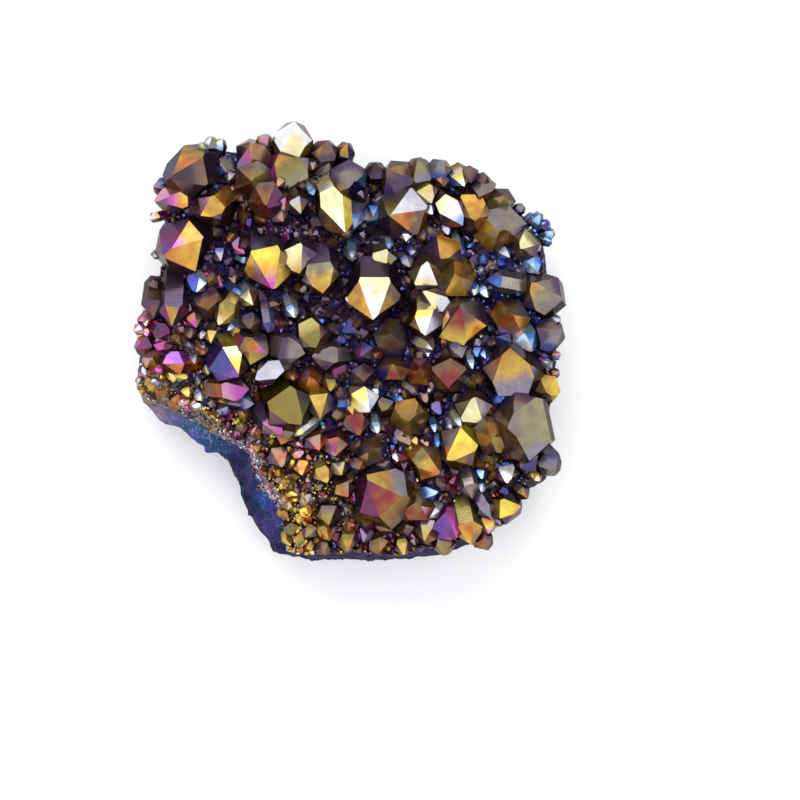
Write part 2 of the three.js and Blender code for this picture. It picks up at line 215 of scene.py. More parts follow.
def crystal(tip, width, leans_to, lean, turn, off_axis, length, key):
    """Corners of one crystal, its faces as ((kind, number), normal, corner numbers), and how far
    up the crystal each corner is."""
    half = width / 2
    normals, offsets, kinds = [(0, 0, -1)], [length], [("root", 0)]
    for k in range(6):
        angle = math.radians(60 * k + turn)
        c, s = math.cos(angle), math.sin(angle)
        normals.append((c, s, 0))
        offsets.append(half * (1 + WIDTH_SPREAD * (2 * chance(key, k) - 1)))
        lesser = LESSER_PUSH * chance(key, LESSER_DRAW) if k % 2 == 0 else 0
        spread = TIP_SPREAD * (2 * chance(key, k + 6) - 1)
        aside = off_axis * math.sin(TIP_SLOPE) * c
        normals.append((math.sin(TIP_SLOPE) * c, math.sin(TIP_SLOPE) * s, math.cos(TIP_SLOPE)))
        offsets.append(half * (lesser + spread + aside))
        kinds += [("side", k), ("tip", k)]
    normals, offsets = np.array(normals, float), np.array(offsets)
    three = np.array(list(itertools.combinations(range(len(normals)), 3)))
    squares = normals[three]
    ok = np.abs(np.linalg.det(squares)) > ROUNDING
    points = np.linalg.solve(squares[ok], offsets[three][ok][..., None])[..., 0]
    points = points[(points @ normals.T <= offsets + ROUNDING).all(axis=1)]
    corners = []
    for p in points:
        if not any(np.abs(p - q).max() < WELD for q in corners):
            corners.append(p)
    corners = np.array(corners)
    summit = corners[corners[:, 2].argmax()]
    place = (turned(math.radians(leans_to)) @ leant(math.radians(lean))).T
    faces = []
    for kind, normal, offset in zip(kinds, normals, offsets):
        on = np.where(np.abs(corners @ normal - offset) < WELD)[0]
        if len(on) < 3:
            continue
        centre = corners[on].mean(axis=0)
        u = corners[on[0]] - centre
        v = np.cross(normal, u)
        turn_of = np.arctan2((corners[on] - centre) @ v, (corners[on] - centre) @ u)
        faces.append((kind, normal @ place, on[np.argsort(turn_of)]))
    return (corners - summit) @ place + np.array(tip), faces, corners[:, 2]


plain = crystal(tip=(0, 0, 0), width=1, leans_to=0, lean=0, turn=0, off_axis=0, length=2, key=0)
print("a plain crystal has", len(plain[0]), "corners and", len(plain[1]), "faces")

# %% [markdown]
# ## The colours of the film
#
# A letter stands for each colour that the film takes, as a painter would name the tubes, and w and
# Y mostly stand for painted highlights, where a face mirrors a lamp. One letter is a face of one
# colour that fades a little at its foot, two letters are a film that thickens from the foot of the
# face to the crystal's tip, and three name a middle colour too.
#
# A crystal's entry is a few such words. Five of them are for the ways that a face can look: up,
# to the far side, left, to the near side and right. Six of them are for the six tip faces by
# number, from the one that looks the way the crystal leans (its turn moves them all round), and
# each side takes the word of the tip face above it. A seventh word is for all the sides.

# %% The tones
# w and Y are mostly painted highlights, not colours of the film
FILM_TONES_AND_PAINTED_HIGHLIGHTS = {
    "k": "#32262E", "n": "#5F4538", "b": "#7E582C", "a": "#A97326", "g": "#BC8F30", "G": "#DB9522",
    "o": "#B9641F", "r": "#7A2E22", "p": "#5E2244", "m": "#B83AA0", "P": "#C07C9C", "v": "#56307C",
    "i": "#2C2C6A", "u": "#2850A8", "s": "#6C94CC", "c": "#A2CEE6", "w": "#F0F2F4", "y": "#EEC934",
    "Y": "#EEDF9C", "O": "#433A0C", "l": "#736430", "e": "#7A7252", "t": "#6E625E", "h": "#746E80",
    "L": "#C2BCCE", "d": "#403048",
}
LINEAR = {letter: np.array(srgb(code)) for letter, code in FILM_TONES_AND_PAINTED_HIGHLIGHTS.items()}
# The film is thinner where a face runs down into a gap: the tone that one letter fades to there
FADES_TO = {
    "k": "d", "n": "d", "b": "n", "a": "l", "g": "l", "G": "g", "o": "a", "r": "n", "p": "d", "m": "o",
    "P": "a", "v": "i", "i": "d", "u": "i", "s": "u", "c": "s", "w": "s", "y": "g", "Y": "e", "O": "k",
    "l": "t", "e": "h", "t": "d", "h": "i", "L": "h", "d": "d",
}
TOP_LIMIT = 0.94     # a face whose normal is more upright than this takes the tone of the top


def facing(normal):
    """Which of the five tones a face takes: 0 top, 1 far, 2 left, 3 near, 4 right."""
    if normal[2] > TOP_LIMIT:
        return 0
    if abs(normal[0]) > abs(normal[1]):
        return 4 if normal[0] > 0 else 2
    return 1 if normal[1] > 0 else 3


print("tones of the film:", len(FILM_TONES_AND_PAINTED_HIGHLIGHTS))

# %% [markdown]
# ## The crystals that the eye counts
#
# These crystals are placed one by one. Each line gives the tip's x and y, the width, the
# direction that the crystal leans to, how far it leans, its turn about its own axis, how far its
# tip stands off that axis, how much higher it stands than its width calls for, and its tones.
# Lengths are in millimetres and angles in degrees, but the tip's distance from the axis is a
# share of half the width.

# %% The list of crystals
# the tones were matched to each face as it is lit, so they hold painted highlights and shade as well as the
# film's colour
CRYSTALS = [
    # upper left corner
    (-22.5, 20.2, 6.4, 191, 30, 0, 0.05, 0.3, "h n kn nkk bob iv k"),
    (-24.7, 17.5, 3.6, 184, 46, 0, 0.55, 0.6, "P n n Gmv P h"),
    (-18.7, 15.5, 4.8, 222, 34, 0, -0.2, 0.4, "n n n aaG Pp b"),
    (-23.4, 10.5, 6.6, 208, 30, 15, 0, 0.9, "d n GGo aom dpv p k"),
    (-24.8, 19.2, 2.2, 180, 40, 10, 0, 0, "h h h p n"),
    (-25.4, 15.2, 1.3, 200, 48, 20, 0, 0.6, "P m p a P"),
    (-17.2, 13.1, 1.8, 250, 25, 0, 0, 0, "l e n n n"),
    (-16.4, 10.0, 2.0, 300, 30, 30, 0, 0, "h h t n i"),
    (-25.3, 10.8, 1.1, 180, 60, 0, 0, 0, "L h L i i"),
    (-12.8, 9.8, 1.1, 340, 48, 0, 0.2, 0, "w s c i s"),
    (-18.8, 24.9, 1.7, 100, 38, 0, 0, 0, "Y w Y l e"),
    (-17.5, 25.6, 1.9, 80, 36, 20, 0, 0, "Y Y w e l"),
    (-16.3, 25.3, 1.6, 70, 38, 0, 0, 0, "w Y w e t"),
    (-15.4, 20.1, 1.8, 250, 22, 0, 0, 0, "n t t n n"),
    (-12.6, 24.8, 4.8, 95, 32, 30, 0, 0, "n n p nb t n"),
    (-10.4, 25.9, 2.0, 60, 42, 0, 0.13, 0, "P t P n b"),
    (-9.1, 23.3, 5.4, 118, 30, 0, 0, 0.2, "p pm mm ela l n"),
    (-6.9, 27.2, 5.0, 82, 42, 0, 0.1, 0, "g a www YYw www a g"),
    (-8.6, 26.6, 1.6, 120, 42, 0, 0, 0, "g y l n l"),
    (-3.0, 25.1, 3.6, 80, 36, 20, 0, 0, "t n b n d d"),
    (-0.5, 24.7, 2.3, 68, 34, 10, 0, 0, "a a b i i"),
    (-12.4, 19.6, 4.6, 265, 10, 30, 0, 0.3, "e l l b b r"),
    (-10.3, 16.4, 4.4, 265, 14, 10, 0, 0, "n b r r p"),
    (-8.2, 17.8, 2.6, 60, 22, 0, 0, 0.2, "Pr b r P r"),
    (-11.9, 15.2, 2.0, 200, 30, 20, 0, 0, "n b p r r"),
    (-8.5, 14.8, 2.2, 300, 30, 0, 0, 0, "b n n p n"),
    (-9.3, 19.2, 1.6, 240, 30, 0, 0, 0, "n b n n n"),
    (-6.3, 15.8, 3.0, 290, 34, 10, 0, 0, "d k n e d k"),
    (-4.9, 21.4, 1.5, 270, 32, 0, 0, 0, "n t e n n"),
    # top
    (-0.7, 13.4, 4.4, 294, 42, 0, 0.6, 0.9, "n n y YYw b n"),
    (-4.7, 18.2, 1.1, 300, 45, 0, 0, 0.2, "s c s u w"),
    (0.4, 19.9, 5.0, 340, 16, 20, 0, 0.2, "ssu t t t n i"),
    (3.0, 22.4, 2.6, 90, 36, 0, 0, 0, "k k k k k k"),
    (4.4, 21.4, 4.8, 140, 32, 0, 0, 0.1, "n n iv ddn b n"),
    (8.3, 22.7, 3.6, 100, 35, 0, 0.13, 0, "e e n e e t"),
    (11.4, 22.7, 3.0, 75, 36, 10, 0.07, 0, "h h e n l"),
    (11.6, 19.3, 2.2, 280, 22, 20, 0, 0, "r b r k n"),
    (14.25, 19.4, 2.6, 300, 30, 0, 0.2, 0, "n n n law us t"),
    (15.4, 21.7, 2.4, 62, 34, 0, 0, 0, "n n n k n"),
    (17.2, 20.7, 2.0, 40, 36, 10, 0, 0, "n n n n n"),
    (16.0, 18.1, 3.2, 230, 14, 0, 0.1, 0, "n n n te t d"),
    (19.2, 18.2, 3.8, 60, 20, 30, 0, 0, "k n ln l e n"),
    (15.5, 14.9, 4.8, 270, 14, 0, 0, 0.5, "n n b Ga b n"),
    (19.1, 13.8, 5.8, 285, 7, 0, 0, 0.4, "ba t te ttt GGG GGY"),
    (21.2, 11.5, 4.0, 222, 14, 0, 0, 0.3, "n n n Y t n"),
    (21.5, 10.5, 1.2, 280, 40, 0, 0.13, 0, "w w s u w"),
    (23.7, 15.9, 1.6, 60, 30, 0, 0, 0, "s c s c s"),
    (24.9, 14.9, 1.5, 40, 34, 20, 0, 0, "s u c i s"),
    (25.5, 13.7, 1.4, 20, 36, 0, 0, 0, "c s s c u"),
    (25.1, 12.4, 1.4, 350, 30, 20, 0, 0, "s c i s u"),
    (22.7, 15.8, 1.6, 70, 26, 0, 0, 0, "i s c i s"),
    (21.7, 17.0, 1.4, 40, 36, 0, 0, 0, "h t h i i"),
    (4.8, 15.5, 6.4, 180, 20, -18, 0, 0.6, "l d n noa Lw l"),
    (6.9, 12.4, 1.7, 275, 42, 0, 0.2, 0.4, "w Y e l w"),
    (14.0, 14.4, 3.6, 312, 44, 0, 0.4, 0.4, "n d n Yws n n k"),
    (10.1, 17.2, 3.0, 300, 32, 0, 0.07, 0, "le l l n n"),
    (10.2, 15.8, 1.5, 300, 45, 0, 0.13, 0, "w w u u s"),
    (2.8, 15.1, 2.6, 270, 16, 0, 0, 0, "h s h u s"),
    (0.3, 13.9, 2.2, 270, 50, 0, 0, 0.3, "s h s i w"),
    (12.2, 13.3, 1.6, 290, 36, 0, 0, 0, "h L h i i"),
    # middle
    (-9.6, 6.4, 5.4, 275, 42, 9, 0.3, 0.8, "p p g yGm GPm m d"),
    (-6.4, 8.3, 5.0, 268, 32, 30, 0, 0.1, "n n t Yg t n d"),
    (-3.5, 5.8, 4.8, 278, 42, 0, 0.05, 0.3, "n n b ega t n d"),
    (-12.3, 4.4, 2.6, 300, 32, 10, 0, 0, "Yy w Y l b"),
    (-13.6, 5.1, 1.7, 320, 46, 0, 0.13, 0, "s s u c w"),
    (-7.0, 2.8, 1.7, 290, 46, 10, 0.13, 0, "w w w s w"),
    (-6.0, 1.9, 1.3, 250, 30, 0, 0, 0, "h L h v i"),
    (2.75, 2.5, 5.8, 270, 40, 0, 0.3, 0.9, "n n na Yw aG n k"),
    (4.2, 8.7, 3.3, 276, 30, 12, 0, 0, "n n l eel t n"),
    (0.1, 9.9, 1.7, 270, 42, 0, 0, 0, "L c L s w"),
    (4.8, 11.5, 1.2, 280, 42, 0, 0, 0, "s w s u c"),
    (7.4, 9.2, 1.9, 310, 36, 0, 0, 0, "h h h i t"),
    (9.5, 9.8, 4.6, 90, 22, 0, 0, 0.3, "n n el Yww nb n"),
    (11.3, 10.1, 5.2, 249, 3, 0, 0, 0.4, "n n n Ga d d"),
    (13.6, 10.4, 1.6, 280, 46, 0, 0.13, 0, "w w Y e s"),
    (12.9, 8.4, 5.8, 80, 12, 10, 0, 0.1, "a l l Ga b a"),
    (14.0, 6.2, 2.0, 340, 50, 0, 0.2, 0, "Yw Y Y s s"),
    (15.7, 6.6, 1.4, 320, 45, 0, 0, 0, "u s u i u"),
    (9.0, 6.1, 2.9, 143, 42, 0, 0.45, 0.3, "n s d LYY n n"),
    (9.25, 0.6, 4.4, 272, 36, 0, 0, 0.4, "n d L gYY b n"),
    (0.3, 4.1, 1.7, 300, 30, 0, 0, 0, "t e t n h"),
    (19.9, 10.4, 1.7, 315, 45, 0, 0.13, 0, "L h L s s"),
    (23.4, 8.5, 2.2, 300, 46, 0, 0.26, 0, "c s c u s"),
    (16.6, 10.8, 1.3, 90, 44, 0, 0, 0, "u s u i u"),
    (17.0, 7.6, 2.4, 170, 60, 0, 0, 0.6, "u i i iuu h i htt"),
    (15.4, 5.7, 1.3, 270, 42, 0, 0.2, 0, "w s w s w"),
    (17.2, 5.4, 1.4, 300, 42, 0, 0.2, 0, "w w s u s"),
    (18.9, 6.1, 1.0, 280, 40, 0, 0, 0, "w s s u w"),
    (20.9, 5.6, 1.9, 270, 30, 20, 0, 0, "u u u u s"),
    (25.8, 6.9, 1.1, 340, 58, 0, 0, 0, "h L v i w"),
    (24.0, 7.6, 1.3, 330, 50, 0, 0, 0, "L w v v L"),
    (22.6, 7.2, 5.2, 130, 24, 0, 0.1, 0, "n n n teg t n k"),
    (19.9, 3.4, 4.8, 90, 8, 0, 0, 0.2, "b ab ao Poo ao e k"),
    (13.6, 4.5, 6.0, 100, 22, 30, 0, 0.4, "t n grr Gnn t t"),
    (12.1, 3.8, 1.6, 85, 58, 0, 0, 0.9, "b b b aPa b b Paa"),
    (5.0, 0.8, 4.4, 60, 8, 20, 0, 0, "n l l n t"),
    (10.2, -1.2, 2.4, 328, 40, 0, 0.26, 0, "t t e ltw t t"),
    (9.6, -2.1, 1.3, 280, 40, 0, 0, 0, "w s u u s"),
    # left
    (-22.4, 1.8, 3.2, 268, 60, 0, 0, 0.9, "n p p age p p kkd"),
    (-24.8, 2.9, 2.7, 265, 46, 0, 0, 0.5, "n n p b n"),
    (-25.5, 7.0, 1.5, 180, 46, 0, 0, 0, "n b n n n"),
    (-19.4, 6.0, 2.4, 265, 42, 20, 0, 0, "u s u i w"),
    (-17.9, 3.7, 4.2, 270, 14, 10, 0, 0, "n b b n n n"),
    (-19.4, 1.6, 2.3, 285, 42, 20, 0, 0, "m h m p b"),
    (-16.6, 1.9, 3.2, 242, 42, 0, 0.2, 0.4, "b n g lgY n n"),
    (-15.5, 1.2, 1.3, 220, 50, 0, 0, 0, "w s w s s"),
    (-14.9, 0.5, 1.3, 235, 52, 0, 0, 0, "a t a b a"),
    (-12.6, 1.4, 3.0, 270, 16, 20, 0, 0, "n n n k n"),
    (-10.4, 0.9, 1.6, 280, 55, 0, 0, 0.2, "i h i u s"),
    (-17.6, -0.3, 1.8, 265, 32, 0, 0.13, 0, "a a b o l"),
    (-20.2, 0.3, 1.8, 270, 30, 20, 0, 0, "n n b n n"),
    (-18.9, 0.2, 1.2, 250, 30, 0, 0, 0, "t t P h t"),
    (-25.0, -2.2, 2.3, 90, 5, 0, 0, 0, "P P P g b"),
    (-27.0, 2.5, 1.3, 190, 40, 0, 0, 0, "P m P p w"),
    (-27.3, 1.2, 1.5, 200, 38, 20, 0, 0, "w P m P w"),
    (-25.9, 1.8, 1.2, 270, 30, 0, 0, 0, "m P m w P"),
    (-26.2, 3.1, 1.1, 150, 36, 20, 0, 0, "P w m m P"),
    (-25.7, 0.5, 1.1, 270, 34, 0, 0, 0, "m P w p m"),
    (-27.1, -1.0, 2.2, 200, 34, 10, 0, 0, "p m p p r"),
    (-23.6, -2.9, 3.0, 182, 44, 30, 0, 0.3, "n r or vvm m n"),
    (-20.6, -4.7, 1.7, 330, 45, 0, 0.13, 0, "y Y g l y"),
    (-22.4, -5.3, 1.7, 270, 40, 0, 0.13, 0, "Yg Y y g g"),
    (-19.5, -3.0, 2.0, 270, 16, 20, 0, 0, "o w a o r"),
    (-14.0, -4.6, 5.0, 301, 36, 30, 0, 0.5, "p n Yyg iiv v p"),
    (-10.4, -1.7, 3.8, 335, 40, 0, 0.15, 0.2, "m n t bom gl n"),
    (-12.8, -6.1, 3.4, 355, 45, 14, 0.13, 0, "p n n Pmm p r nrr"),
    (-17.2, -6.2, 2.0, 300, 26, 0, 0, 0, "ro t r r a"),
    (-18.0, -4.3, 1.5, 270, 30, 0, 0, 0, "a t a b b"),
    (-16.6, -4.6, 1.3, 260, 30, 0, 0, 0, "y y g g y"),
    (-20.5, -7.1, 1.9, 300, 26, 0, 0, 0, "a g a b a"),
    (-18.8, -7.6, 1.3, 300, 40, 0, 0.13, 0, "w w Y t w"),
    (-16.0, -7.9, 1.7, 280, 20, 0, 0, 0, "g y g b Y"),
    (-17.5, -7.5, 1.4, 100, 20, 0, 0, 0, "e l e n t"),
    # lower middle
    (-12.0, -4.9, 3.2, 205, 42, 0, 0.4, 0.5, "d n d LLL t n"),
    (-5.75, -1.7, 3.4, 345, 42, 0, 0.2, 0.2, "n t t dtt t n"),
    (-4.35, -1.0, 4.6, 296, 22, 0, 0, 0.4, "n n t lOO n n"),
    (-4.9, -2.1, 3.2, 184, 44, 0, 0.35, 0.1, "n n n tt t n"),
    (-7.2, -5.0, 2.1, 280, 22, 0, 0, 0, "o b a a n"),
    (-5.2, -4.6, 3.2, 100, 10, 0, 0, 0, "rP rP ro aoo r ro"),
    (-6.2, -10.6, 6.0, 305, 34, 0, 0, 0.4, "n n O OOO np p"),
    (-3.8, -9.8, 3.3, 275, 40, 0, 0.26, 0.1, "n n t gga t n"),
    (-7.2, -12.0, 1.6, 217, 64, 0, 0, 1.0, "Y Y Y t w"),
    (-8.6, -11.9, 3.0, 307, 52, 0, 0.1, 0.5, "n n p mPm n n d"),
    (-13.3, -9.6, 2.0, 270, 20, 0, 0, 0, "g a g b b"),
    (-12.2, -8.0, 2.0, 350, 50, 0, 0, 0, "h s h i i"),
    (-2.6, -6.4, 1.9, 265, 45, 0, 0, 0, "a t b n l"),
    (2.4, -8.9, 3.4, 300, 30, 0, 0.15, 0.3, "i i ws gyL yw g"),
    (3.1, -7.0, 1.1, 280, 30, 0, 0, 0, "c w c s s"),
    (1.6, -5.2, 3.2, 280, 16, 20, 0, 0, "n n n n k"),
    (1.0, -2.2, 2.6, 240, 20, 0, 0, 0, "n v p i n"),
    (5.2, -3.0, 3.6, 90, 14, 0, 0, 0.2, "n n ib rrb bl n"),
    (8.6, -3.6, 3.2, 90, 6, 0, 0, 0, "Pr r ro or rb r"),
    (12.2, -6.1, 4.2, 268, 26, 30, 0, 0.2, "n n nrr nrr b n"),
    (7.3, -10.2, 4.8, 280, 13, 0, 0, 0.3, "ba bl lb ab ba ba"),
    (3.9, -8.9, 2.4, 250, 22, 0, 0, 0, "n O n r n"),
    (0.3, -9.5, 2.3, 270, 22, 20, 0, 0, "ab a o b n"),
    (-1.7, -8.4, 1.8, 200, 32, 0, 0, 0, "u s u i w"),
    (5.6, -13.0, 1.2, 270, 20, 0, 0, 0, "v i u i i"),
    (5.8, -15.2, 1.2, 300, 30, 0, 0, 0, "w L v i L"),
    (6.6, -7.6, 1.1, 350, 50, 0, 0, 0, "s c u i s"),
    (3.3, -11.7, 1.5, 280, 45, 0, 0.2, 0, "w w w s w"),
    (8.4, -6.8, 1.3, 325, 60, 0, 0, 0.2, "t e t b n"),
    (9.5, -7.8, 2.0, 300, 22, 0, 0, 0, "k n k n k"),
    (11.2, -9.3, 2.0, 300, 30, 0, 0, 0, "i i h i i"),
    (10.5, -11.5, 1.2, 280, 40, 0, 0, 0, "w s u u s"),
    (12.5, -11.3, 1.0, 280, 40, 0, 0, 0, "w w w Y w"),
    (13.8, -10.8, 1.3, 300, 44, 0, 0, 0, "w Y w Y w"),
    (10.8, -13.4, 1.0, 270, 40, 0, 0, 0, "s c s u c"),
    (13.9, -2.2, 2.3, 300, 40, 0, 0.13, 0, "t t t n h"),
    (15.8, -2.1, 1.6, 270, 26, 0, 0, 0, "v u i v u"),
    (16.9, -2.3, 1.4, 300, 34, 0, 0, 0, "s L v u u"),
    (15.2, -3.6, 1.5, 280, 42, 0, 0.13, 0, "w w s s u"),
    (16.9, -3.7, 1.7, 240, 34, 0, 0, 0, "u h v i u"),
    # right
    (22.7, -1.4, 2.9, 300, 45, 24, 0.07, 0.2, "cw c w s s"),
    (26.5, 1.3, 3.9, 15, 35, 0, 0.13, 0, "t t t t h t k"),
    (26.4, 2.6, 1.2, 0, 40, 0, 0, 0, "L L L h h"),
    (19.8, -1.0, 7.2, 92, 34, 0, 0, 0.3, "n n nr hga t n k"),
    (17.9, -7.8, 1.3, 215, 60, 0, 0, 0, "u s u u s"),
    (15.5, -7.2, 4.2, 85, 20, 0, 0, 0.3, "n n l YYY Lww n"),
    (24.6, -6.6, 3.8, 300, 12, 20, 0, 0, "gb yg ga ta tt t"),
    (19.5, -10.8, 7.6, 192, 16, 0, 0, 0.2, "b nb e eet t n k"),
    (17.6, -12.2, 4.2, 260, 6, 0, 0, 1.2, "b bl b b l b"),
    (25.7, -16.6, 3.2, 312, 36, 10, 0, 0, "t t h ht t n"),
    (21.2, -15.9, 3.4, 230, 30, 0, 0, 0, "k l k n i"),
    (19.6, -14.6, 2.2, 270, 20, 0, 0, 0, "n b n p n"),
    (19.6, -17.9, 2.9, 278, 26, 0, 0.1, 0.2, "i n t www t n"),
    (22.8, -17.3, 1.5, 280, 30, 0, 0, 0, "gY Y g b y"),
    (23.6, -17.7, 1.3, 300, 30, 0, 0, 0, "y Y g b y"),
    (22.2, -19.9, 1.7, 310, 50, 0, 0, 0, "a t a n n"),
    (21.3, -20.9, 3.8, 358, 40, 0, 0, 0.2, "b p n yyG p p"),
    (19.8, -19.4, 1.3, 320, 45, 0, 0, 0, "i w i i u"),
    (26.2, -4.0, 1.2, 10, 36, 0, 0, 0, "P t P t P"),
    (26.3, -1.8, 1.1, 10, 36, 20, 0, 0, "P P t h w"),
    # bottom
    (-8.8, -13.1, 2.6, 250, 48, 0, 0.1, 0.3, "b b a ebo b b"),
    (-4.0, -13.8, 2.7, 290, 30, 0, 0, 0, "r n ro nnr p r"),
    (-1.9, -14.5, 3.0, 267, 38, 20, 0, 0.1, "n n nb rpp P n"),
    (0.9, -11.9, 2.9, 280, 42, 0, 0.2, 0, "k n n rr np t"),
    (2.6, -13.5, 3.4, 90, 8, 20, 0, 0, "b t b tbb t b"),
    (-8.8, -15.9, 3.0, 280, 30, 0, 0, 0, "n n n nrn n n"),
    (-6.3, -16.9, 2.1, 265, 36, 0, 0.13, 0, "n a o aog o a"),
    (-3.0, -17.9, 2.4, 290, 40, 0, 0.07, 0, "ag g a b b"),
    (-1.3, -16.9, 2.4, 280, 26, 0, 0, 0, "l l l n n"),
    (-0.4, -19.6, 2.3, 290, 36, 0, 0.07, 0, "nb b o b r"),
    (1.0, -16.2, 2.4, 270, 16, 0, 0, 0, "b b t n b"),
    (0.6, -20.2, 1.7, 270, 20, 0, 0, 0, "p p m p p"),
    (12.0, -15.0, 5.0, 224, 34, 0, 0, 0.4, "n b b yy tto n"),
    (11.0, -16.7, 4.0, 325, 44, 0, 0.15, 0, "n n b lgo o n"),
    (2.0, -16.8, 6.6, 133, 34, 0, 0, 0.4, "n p pp rrp hag d b"),
    (8.1, -20.3, 4.0, 90, 10, 0, 0, 0.4, "b n rb rrb rP b"),
    (10.9, -19.0, 2.6, 0, 30, 0, 0, 0.3, "i i i ucc i i"),
    (9.6, -22.3, 1.9, 230, 45, 0, 0.2, 0, "w w w Lww w w"),
    (13.2, -24.8, 4.8, 300, 36, 20, 0, 0, "p m pm vvp vvm p"),
    (15.0, -25.6, 3.3, 282, 58, 0, 0, 0.6, "n n a Goo a n lll"),
    (15.2, -19.9, 2.2, 285, 62, 0, 0, 0.7, "t t t ttt t t ddt"),
    (17.6, -22.5, 2.4, 300, 62, 0, 0, 0.5, "h h h hhh h h hhd"),
    (16.4, -17.4, 1.7, 280, 30, 0, 0, 0, "u s u i u"),
    (16.4, -19.1, 1.4, 280, 40, 0, 0, 0, "w s s u s"),
    (17.2, -24.4, 2.3, 275, 45, 0, 0.1, 0, "p p P oyP P p"),
    (18.9, -23.4, 1.9, 300, 45, 0, 0, 0, "h m p h r"),
    (17.1, -26.4, 2.4, 290, 48, 20, 0, 0, "rb b r b n"),
    (-2.8, -23.2, 3.2, 270, 30, 0, 0.13, 0, "b O b k k"),
    (1.8, -23.4, 3.6, 250, 28, 20, 0, 0, "g l b p b"),
    (5.0, -24.0, 3.0, 300, 34, 0, 0.2, 0, "t l b n p"),
    (9.2, -25.2, 3.6, 260, 34, 0, 0.13, 0, "l g n p b"),
    (-5.8, -24.8, 2.2, 240, 36, 0, 0, 0, "b n p p n"),
    (-0.6, -26.6, 2.6, 270, 42, 0, 0, 0, "a g b p n"),
    (3.4, -26.9, 2.4, 275, 42, 20, 0, 0, "b l n p b"),
    (6.6, -27.0, 2.2, 280, 40, 0, 0, 0, "g b n p n"),
    (11.9, -27.0, 2.6, 280, 42, 0, 0, 0, "l b b n p"),
    (-3.6, -27.0, 1.9, 262, 40, 0, 0, 0, "b b n p n"),
]
print("crystals placed by hand:", len(CRYSTALS))

# %% [markdown]
# Hundreds of crystals make one piece, so a heap gathers them and becomes one mesh at the end.
# A face is one flat polygon that carries three colours, with its painted light and shade in them: at its
# foot, half way and at the tip.
# Its corners say how far up the face they are, and the finish blends the colours between them.
# A last value says how far each point is along the crystal, for the growth lines on its sides.

# %% A heap that gathers many crystals into one mesh
class Heap:
    def __init__(self):
        self.points, self.faces, self.tones, self.share, self.along, self.sides = [], [], [], [], [], []
        self.count = 0

    def put(self, corners, faces, along, shades):
        """shades gives each face its three colours and the share of the way up of each corner."""
        self.points.append(corners)
        self.along.append(along)
        for (kind, _, on), (colours, share) in zip(faces, shades):
            self.faces.append([self.count + int(i) for i in on])
            self.tones.append(colours)
            self.share.append(share)
            self.sides.append(1.0 if kind[0] == "side" else 0.0)
        self.count += len(corners)

    def mesh(self, name):
        mesh = bpy.data.meshes.new(name)
        mesh.from_pydata(metres(np.concatenate(self.points)).tolist(), [], self.faces)
        tones = np.array(self.tones, np.float32)
        for number, where in enumerate(("foot_tone_and_painted_light", "middle_tone_and_painted_light", "tip_tone_and_painted_light")):
            layer = mesh.attributes.new(where, "FLOAT_COLOR", "FACE")
            rgba = np.ones((len(self.faces), 4), np.float32)
            rgba[:, :3] = tones[:, number]
            layer.data.foreach_set("color", rgba.ravel())
        for title, domain, values in (("share", "CORNER", np.concatenate(self.share)),
                                      ("along", "POINT", np.concatenate(self.along)),
                                      ("side", "FACE", np.array(self.sides))):
            layer = mesh.attributes.new(title, "FLOAT", domain)
            layer.data.foreach_set("value", values.astype(np.float32))
        piece = bpy.data.objects.new(name, mesh)
        bpy.context.scene.collection.objects.link(piece)
        return piece


def three_tones(letters):
    """Foot, middle and tip colour of a face from its one, two or three letters."""
    if len(letters) == 1:
        return LINEAR[FADES_TO[letters]], LINEAR[letters], LINEAR[letters]
    if len(letters) == 2:
        return LINEAR[letters[0]], (LINEAR[letters[0]] + LINEAR[letters[1]]) / 2, LINEAR[letters[1]]
    return tuple(LINEAR[letter] for letter in letters)


print("three tones of a brown face:", [[round(float(c), 2) for c in tone] for tone in three_tones("b")])

# %% [markdown]
# A steep face is given painted shade: it is made darker than an upright one, as it would mirror
# the dark crystals round it, and a side face without a word of its own is darker again. Each face is
# also a little lighter or darker than its neighbours, as no two films are of one thickness.

# %% Shade the faces of a placed crystal
STEEP_PAINTED_SHADE, SIDE_PAINTED_SHADE, LIGHT_SPREAD = 0.52, 0.65, 0.24     # painted shade of steep faces and of sides, and a random spread: shares of a tone's full light
STEEP, SPAN = 0.35, 0.5     # the painted light grows while the normal's z rises from STEEP through SPAN


def shade_faces(corners, faces, tones, key):
    """Three colours, and the share of the way up of each corner, for each face of a crystal; the colours
    carry painted shade on steep faces and sides.
    """
    words = tones.split()
    summit = corners[corners[:, 2].argmax()]
    shades = []
    for (kind, number), normal, on in faces:
        if len(words) == 5:
            letters = words[facing(normal)]
        else:
            letters = words[6] if kind == "side" and len(words) > 6 else words[number]
        spot = corners[on]
        toward = summit - spot.mean(axis=0)
        toward = toward - normal * (toward @ normal)
        way = (spot - spot.mean(axis=0)) @ toward
        share = (way - way.min()) / max(TINY, way.max() - way.min())
        # painted shade: the steeper the face, the darker its colour
        level = min(1, max(0, (normal[2] - STEEP) / SPAN))
        uneven = 1 + LIGHT_SPREAD * (chance(key, LIGHT_DRAW + number) - 0.5)
        light = (STEEP_PAINTED_SHADE + (1 - STEEP_PAINTED_SHADE) * level) * uneven
        # painted shade on a side that has no tone of its own
        if kind == "side" and len(words) < 7:
            light *= SIDE_PAINTED_SHADE
        shades.append((np.array(three_tones(letters)) * light, share))
    return shades


# %% [markdown]
# Now the list grows. A wide crystal stands higher than a narrow one, and its root reaches down
# into the rock. What is kept of each is its tip and its planes, so that the small crystals that
# come later can stay clear of it.

# %% The placed crystals
RISE_AT_NOTHING, RISE_OF_WIDTH, ROOT_DEPTH = 0.4, 0.62, 1.6
PLANES = 13     # of a crystal: its root, six sides and six tip faces
CUTS_NOTHING = (0.0, 0.0, 0.0, 1.0)     # stands for a face that the others cut away

